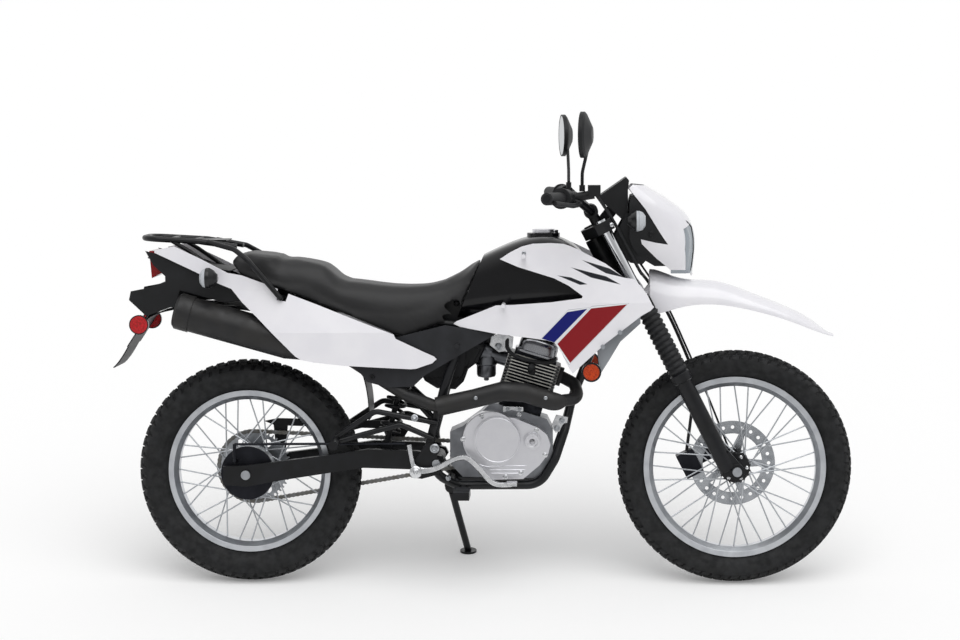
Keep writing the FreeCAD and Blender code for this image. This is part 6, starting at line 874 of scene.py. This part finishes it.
def engine_fasteners():
    """The screws, bolts and ribs of the engine's covers and brackets."""
    covers = ["clutch_cover", "crankcase"]
    fasteners("right_cover_screws", "forged", flange_bolt, covers,
              [(766, 321, 5), (723, 310, 5), (661, 322, 5), (809, 439, 5), (833, 371, 5),
               (606, 416, 5), (658, 480, 5), (622, 352, 5), (760, 478, 5)])
    fasteners("left_cover_screws", "forged", flange_bolt,
              ["left_covers", "crankcase"], [(x, z, 5) for x, z in circle(774, 402, 66, 6)], 1)
    bm = bmesh.new()
    place = place_along(*on_side(covers, 798, 410))
    turned(bm, place, [(0, 0), (22, 0), (22, 3), (20.5, 4.5), (15, 4.5), (13.5, 3), (8, 3)], 40)
    turned(bm, place, [(8, 3), (7.4, -0.5), (0, -0.5)], 6)
    made_piece(bm, "timing_cap", "cover")
    ring = circle(702, 415, 61, 48)
    crescent = [(683 + 76 * math.cos(math.radians(a)), 415 + 76 * math.sin(math.radians(a)))
                for a in range(75, 286, 6)]
    beads("clutch_cover_ribs", "cover", covers,
          [ring + ring[:1], crescent, [(674, 341), (782, 341)], [(676, 330), (779, 330)],
           [(684, 320), (776, 320)]], 1.8)


def engine_brackets():
    """The bright hanger plates and the clutch arm's bracket, with their bolts."""
    bm = bmesh.new()
    plate(bm, [(709, 706), (746, 696), (742, 660), (705, 653), (679, 674), (684, 697)], -50, 8)
    plate(bm, [(864, 478), (897, 472), (892, 436), (862, 428), (850, 446)], -50, 6)
    plate(bm, [(716, 506), (773, 504), (773, 492), (761, 492), (740, 496), (717, 490)], -78, 14)
    made_piece(bm, "engine_hangers", "forged")
    bm = bmesh.new()
    for x, y, z, size in ((704, -59, 670, 7), (880, -57, 462, 6), (866, -57, 441, 6),
                          (730, -93, 498, 4), (763, -93, 498, 4)):
        flange_bolt(bm, stand(x, y, z, -ACROSS), size)
    made_piece(bm, "hanger_bolts", "steel")
    fasteners("frame_bolts", "steel", flange_bolt,
              ["frame", "swingarm", "rear_axles", "foot_pegs", "crankcase", "exhaust_pipe",
               "foot_controls", "side_panels"],
              [(475, 480, 7), (529, 394, 9), (836, 539, 3.6), (645, 539, 3.6), (564, 308, 6)])


def head_cover_form():
    """The cylinder head's cover: a flanged dome in dark polished alloy with its four cap nuts."""
    place = place_with(CYLINDER_FOOT + CYLINDER_UP * 158 * MM, CYLINDER_AHEAD, ACROSS, CYLINDER_UP)
    bm = bmesh.new()
    skin_rings(bm, [squarish_ring(bm, place, half, wide, power, height, 64)
                    for half, wide, power, height in (
                        (0, 0, 2, 0.5), (62, 54, 5, 0.5), (62, 54, 5, 6), (60, 52, 5, 7.5),
                        (56, 48, 5, 8), (55, 47, 4.5, 16), (55, 47, 4.2, 26), (53, 45, 4, 36),
                        (48, 41, 3.6, 44), (40, 34, 3.2, 49.5), (28, 24, 2.8, 52.5),
                        (14, 12, 2.4, 53.6), (0, 0, 2, 53.8))])
    for x, y in ((50, 40), (50, -40), (-50, 40), (-50, -40)):
        flange_bolt(bm, place @ Matrix.Translation((x, y, 7)), 4)
    piece = made_piece(bm, "domed_head_cover", "head")
    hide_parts("head_cover")


def moulded_pipes():
    """The black moulded breather pipe over the cylinder and the plug's cap."""
    bm = bmesh.new()
    route = [(734, -46, 700), (728, -60, 684), (728, -66, 668), (734, -68, 657), (746, -70, 647),
             (766, -71, 638), (790, -71, 631), (815, -71, 626), (840, -69, 624), (856, -64, 628),
             (864, -52, 638)]
    tube_along(bm, [upright(*point) for point in route], 5.5, 12)
    turned(bm, stand(796, -58, 596, UP * 0.55 - ACROSS * 0.8),
           [(0, -12), (9, -12), (9, 4), (11, 6), (11, 14), (8.5, 16), (8.5, 26), (10.5, 28),
            (10, 36), (6, 40), (0, 40)], 20)
    made_piece(bm, "breather_pipe_and_plug_cap", "boot")


def carburettor_details():
    """The float bowl with its drain, the slide's cap and the cable elbow on the carburettor."""
    bm = bmesh.new()
    turned(bm, stand(668, 0, 636, -UP),
           [(0, 0), (30, 0), (30, 22), (27, 24), (27, 50), (24, 56), (10, 60), (0, 60)], 28)
    turned(bm, stand(668, 0, 578, -UP), [(0, 0), (7, 0), (7, 8), (5, 10), (0, 10)], 6)
    for x, y in ((690, 20), (690, -20), (646, 20), (646, -20)):
        flange_bolt(bm, stand(x, y, 614, -UP), 3)
    made_piece(bm, "carburettor_bowl", "carburettor")
    bm = bmesh.new()
    turned(bm, stand(676, 0, 676, UP),
           [(0, 0), (21, 0), (21, 12), (19, 15), (10, 17), (8, 30), (6, 32), (0, 32)], 24)
    elbow = [(676, 0, 704), (677, -4, 716), (684, -12, 724), (694, -22, 728)]
    tube_along(bm, [upright(*point) for point in elbow], 4, 10)
    made_piece(bm, "carburettor_cap", "black_plastic")


def intake_box():
    """The moulded air filter case ahead of the rear spring, with its lid's ribs and band."""
    bm = bmesh.new()
    case = [(504, 637), (572, 661), (641, 682), (668, 668), (650, 628), (618, 604), (606, 570),
            (583, 548), (531, 551), (497, 572), (480, 606)]
    both_ways(bm, case, 48, 6)
    for level in (-47, 47):
        plate(bm, grown(case, -16), level, 5, 2)
    for x in (530, 552, 574, 596):
        for side in (-1, 1):
            tube_along(bm, [upright(x, side * 51, 570), upright(x + 16, side * 51.5, 600),
                            upright(x + 30, side * 51, 636)], 2.2)
    made_piece(bm, "air_filter_case", "black_plastic")


def tank_bracket():
    """The black bracket and rubber block that hold the tank's rear end under the seat's nose."""
    bm = bmesh.new()
    both_ways(bm, [(528, 780), (548, 826), (600, 834), (636, 812), (636, 760), (596, 736),
                   (540, 740)], 46, 4)
    for side in (-1, 1):
        flange_bolt(bm, stand(588, side * 46, 790, ACROSS * side), 6)
    made_piece(bm, "tank_rear_bracket", "powder")


def strap(bm, route, thickness):
    """A flat forged bar along (x, y, z, width) points, its wide side seen from the side."""
    rings, deep = [], thickness / 2
    section = [(1, 0.6), (0.75, 1), (-0.75, 1), (-1, 0.6), (-1, -0.6), (-0.75, -1), (0.75, -1),
               (1, -0.6)]
    for number, (x, y, z, width) in enumerate(route):
        before, after = route[max(number - 1, 0)], route[min(number + 1, len(route) - 1)]
        along = Vector((after[0] - before[0], 0, after[2] - before[2])).normalized()
        rings.append([bm.verts.new(upright(x - along.z * wide * width / 2, y + across * deep,
                                           z + along.x * wide * width / 2))
                      for wide, across in section])
    skin_rings(bm, rings, capped=True)


def smooth_route(route, steps=4):
    """More points along a route, on a smooth curve through the given ones."""
    points, last = [], len(route) - 1
    for number in range(last):
        a, b, c, d = (Vector(route[max(0, min(last, k))]) for k in
                      (number - 1, number, number + 1, number + 2))
        for step in range(steps):
            t = step / steps
            points.append(0.5 * (2 * b + (c - a) * t + (2 * a - 5 * b + 4 * c - d) * t ** 2
                                 + (3 * b - a - 3 * c + d) * t ** 3))
    points.append(Vector(route[-1]))
    return [tuple(point) for point in points]


def foot_levers():
    """The forged brake pedal with its pad and return arm, and the gear lever with its rubber."""
    bm, side, shift = bmesh.new(), PEDAL_SIDE, GEAR_LEVER_SIDE
    arm = [(470, 345, 20), (486, 336, 19), (512, 336, 15), (540, 344, 14), (579, 364, 14),
           (600, 371, 14), (620, 370, 14), (641, 354, 15), (665, 326, 15), (688, 303, 14),
           (710, 296, 13), (742, 297, 13)]
    strap(bm, smooth_route([(x, side, z, width) for x, z, width in arm]), 11)
    strap(bm, smooth_route([(478, side, 330, 16), (470, side, 352, 12), (464, side, 380, 11),
                            (460, side, 406, 12)]), 8)
    turned(bm, stand(478, -76, 332, -ACROSS),
           [(0, 0), (14, 0), (14, 72), (17, 72), (17, 86), (14, 88), (0, 88)], 28)
    flange_bolt(bm, stand(478, -163, 332, -ACROSS), 7)
    for k in range(4):
        strap(bm, [(736 + 5 * k, side - 26, 306, 3), (736 + 5 * k, side + 4, 306, 3)], 3)
    strap(bm, [(729, side - 12, 301, 12), (757, side - 12, 301, 12)], 36)
    turned(bm, stand(667, 50, 324, ACROSS),
           [(0, 0), (10, 0), (10, shift - 44), (0, shift - 44)], 24)
    strap(bm, smooth_route([(660, shift, 326, 16), (690, shift, 317, 12), (720, shift, 308, 11),
                            (748, shift, 302, 12)]), 8)
    piece = made_piece(bm, "foot_levers", "forged")
    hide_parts("foot_controls")
    bm = bmesh.new()
    turned(bm, stand(746, shift - 2, 302, ACROSS),
           [(0, 0), (8, 0), (9.5, 2), (8, 5), (9.5, 8), (8, 11), (9.5, 14), (8, 17), (9.5, 20),
            (8, 23), (9.5, 26), (8.5, 30), (0, 31)], 20)
    made_piece(bm, "gear_lever_rubber", "boot")


engine_fasteners()
engine_brackets()
head_cover_form()
moulded_pipes()
carburettor_details()
intake_box()
tank_bracket()
foot_levers()


# ---- bodywork and fork details


def body_details():
    """The screws of the mouldings, the lens's black edge and the fork's and wheels' bolts."""
    hub = circle(WHEELBASE, FRONT_TYRE_RADIUS, 34, 6)
    for name, body, slot, look, maker, nodes, places, size, sides in (
            ("shroud_screws", "chassis", "disc_steel", "steel", socket_screw,
             ["tank_shrouds"], [(777, 932)], 6, (-1, 1)),
            ("panel_screws", "chassis", "black_plastic", "black_plastic", socket_screw,
             ["side_panels"], [(358, 592)], 7, (-1, 1)),
            ("headlight_adjusters", "steering", "disc_steel", "black_plastic", flange_bolt,
             ["headlight_housing", "headlight_cowl"], [(1126, 982)], 7, (-1,)),
            ("fork_pinch_bolts", "steering", "disc_steel", "forged", socket_screw,
             ["fork_yokes"], [(1016, 1008)], 7, (-1, 1)),
            ("disc_bolts", "front_wheel", "disc_steel", "forged", flange_bolt,
             ["brake_disc", "front_hub"], hub, 4, (1,)),
            ("hub_bolts", "front_wheel", "disc_steel", "forged", flange_bolt,
             ["front_hub", "brake_disc"], hub, 3.5, (-1,))):
        for number, side in enumerate(sides):
            fasteners(name + "_left" * number, look, maker, nodes,
                      [(x, z, size) for x, z in places], side, body)
    beads("headlight_edge", "black_plastic", ["headlight_cowl", "headlight"],
          [[(1222, 1018), (1238, 1000), (1243, 968), (1244, 934), (1240, 896), (1237, 878)]], 2,
          body="steering")


body_details()


# ---- camera, floor and light


def add_camera():
    """The camera stands to the machine's right, level with the bars, and looks along its width."""
    distance, height, ahead = 6148, 1239, 895
    pan, tilt, roll = math.radians(-2.276), math.radians(-4.649), math.radians(-0.269)
    look = Vector((math.sin(pan) * math.cos(tilt), math.cos(pan) * math.cos(tilt), math.sin(tilt)))
    right = Vector((math.cos(pan), -math.sin(pan), 0))
    top = right.cross(look)
    turned_right = right * math.cos(roll) + top * math.sin(roll)
    turned_top = -right * math.sin(roll) + top * math.cos(roll)
    machine = Matrix((AHEAD, ACROSS, UP)).transposed()
    turn = Matrix((machine @ turned_right, machine @ turned_top, machine @ -look)).transposed()
    data = bpy.data.cameras.new("studio_camera")
    data.lens, data.sensor_width = 82.55, 36
    data.clip_end = 60
    camera = in_scene("studio_camera", data)
    camera.matrix_world = Matrix.Translation(upright(ahead, -distance, height)) @ turn.to_4x4()
    bpy.context.scene.camera = camera


def greatest(tree, *values):
    """The greatest of several outputs."""
    result = values[0]
    for value in values[1:]:
        result = reckon(tree, "Math", "MAXIMUM", result, value)
    return result


def add_floor():
    """A wide pale sweep under the wheels, white to the camera and grey only where shade falls."""
    half, glow_strength = 30, 0.17
    mesh = bpy.data.meshes.new("studio_floor")
    mesh.from_pydata([(-half, -half, 0), (half, -half, 0), (half, half, 0), (-half, half, 0)], [],
                     [(0, 1, 2, 3)])
    floor = in_scene("studio_floor", mesh)
    material = bpy.data.materials.new("white_sweep_paper")
    material.use_nodes = True
    tree = material.node_tree
    tree.nodes.clear()
    diffuse = add(tree, "BsdfDiffuse", {"Color": (0.86, 0.86, 0.86, 1)})
    rays = add(tree, "LightPath").outputs
    seen = greatest(tree, rays["Is Camera Ray"], rays["Is Glossy Ray"],
                    rays["Is Transmission Ray"])
    strength = reckon(tree, "Math", "MULTIPLY", seen, glow_strength)
    glow = add(tree, "Emission", {"Color": (1, 1, 1, 1)}, {"Strength": strength})
    both = add(tree, "AddShader", {}, {0: diffuse.outputs[0], 1: glow.outputs[0]})
    add(tree, "OutputMaterial", {}, {"Surface": both.outputs[0]})
    mesh.materials.append(material)


def add_light():
    """A white room, dimmer behind the camera, and one broad soft sun from above its shoulder."""
    world = bpy.data.worlds.new("studio_room")
    bpy.context.scene.world = world
    world.use_nodes = True
    tree = world.node_tree
    tree.nodes.clear()
    rays = add(tree, "LightPath").outputs
    where = add(tree, "TexCoord")
    toward = reckon(tree, "VectorMath", "DOT_PRODUCT", where.outputs["Generated"], (0, -1, 0))
    mirrored = spread(tree, toward, 0.1, 0.9, 1.0, 0.45)
    glossy = reckon(tree, "Math", "MULTIPLY", mirrored, rays["Is Glossy Ray"])
    seen = greatest(tree, rays["Is Camera Ray"], rays["Is Transmission Ray"], glossy)
    strength = reckon(tree, "Math", "MAXIMUM", seen, 0.5)
    background = add(tree, "Background", {"Color": (1, 1, 1, 1)}, {"Strength": strength})
    add(tree, "OutputWorld", {}, {"Surface": background.outputs[0]})
    data = bpy.data.lights.new("soft_sun", "SUN")
    data.energy, data.angle = 1.65, math.radians(60)
    lamp = in_scene("soft_sun", data)
    lamp.rotation_euler = Vector((-0.25, 0.95, -1.9)).to_track_quat("-Z", "Y").to_euler()


add_camera()
add_floor()
add_light()

scene = bpy.context.scene
scene.view_settings.view_transform = "Standard"
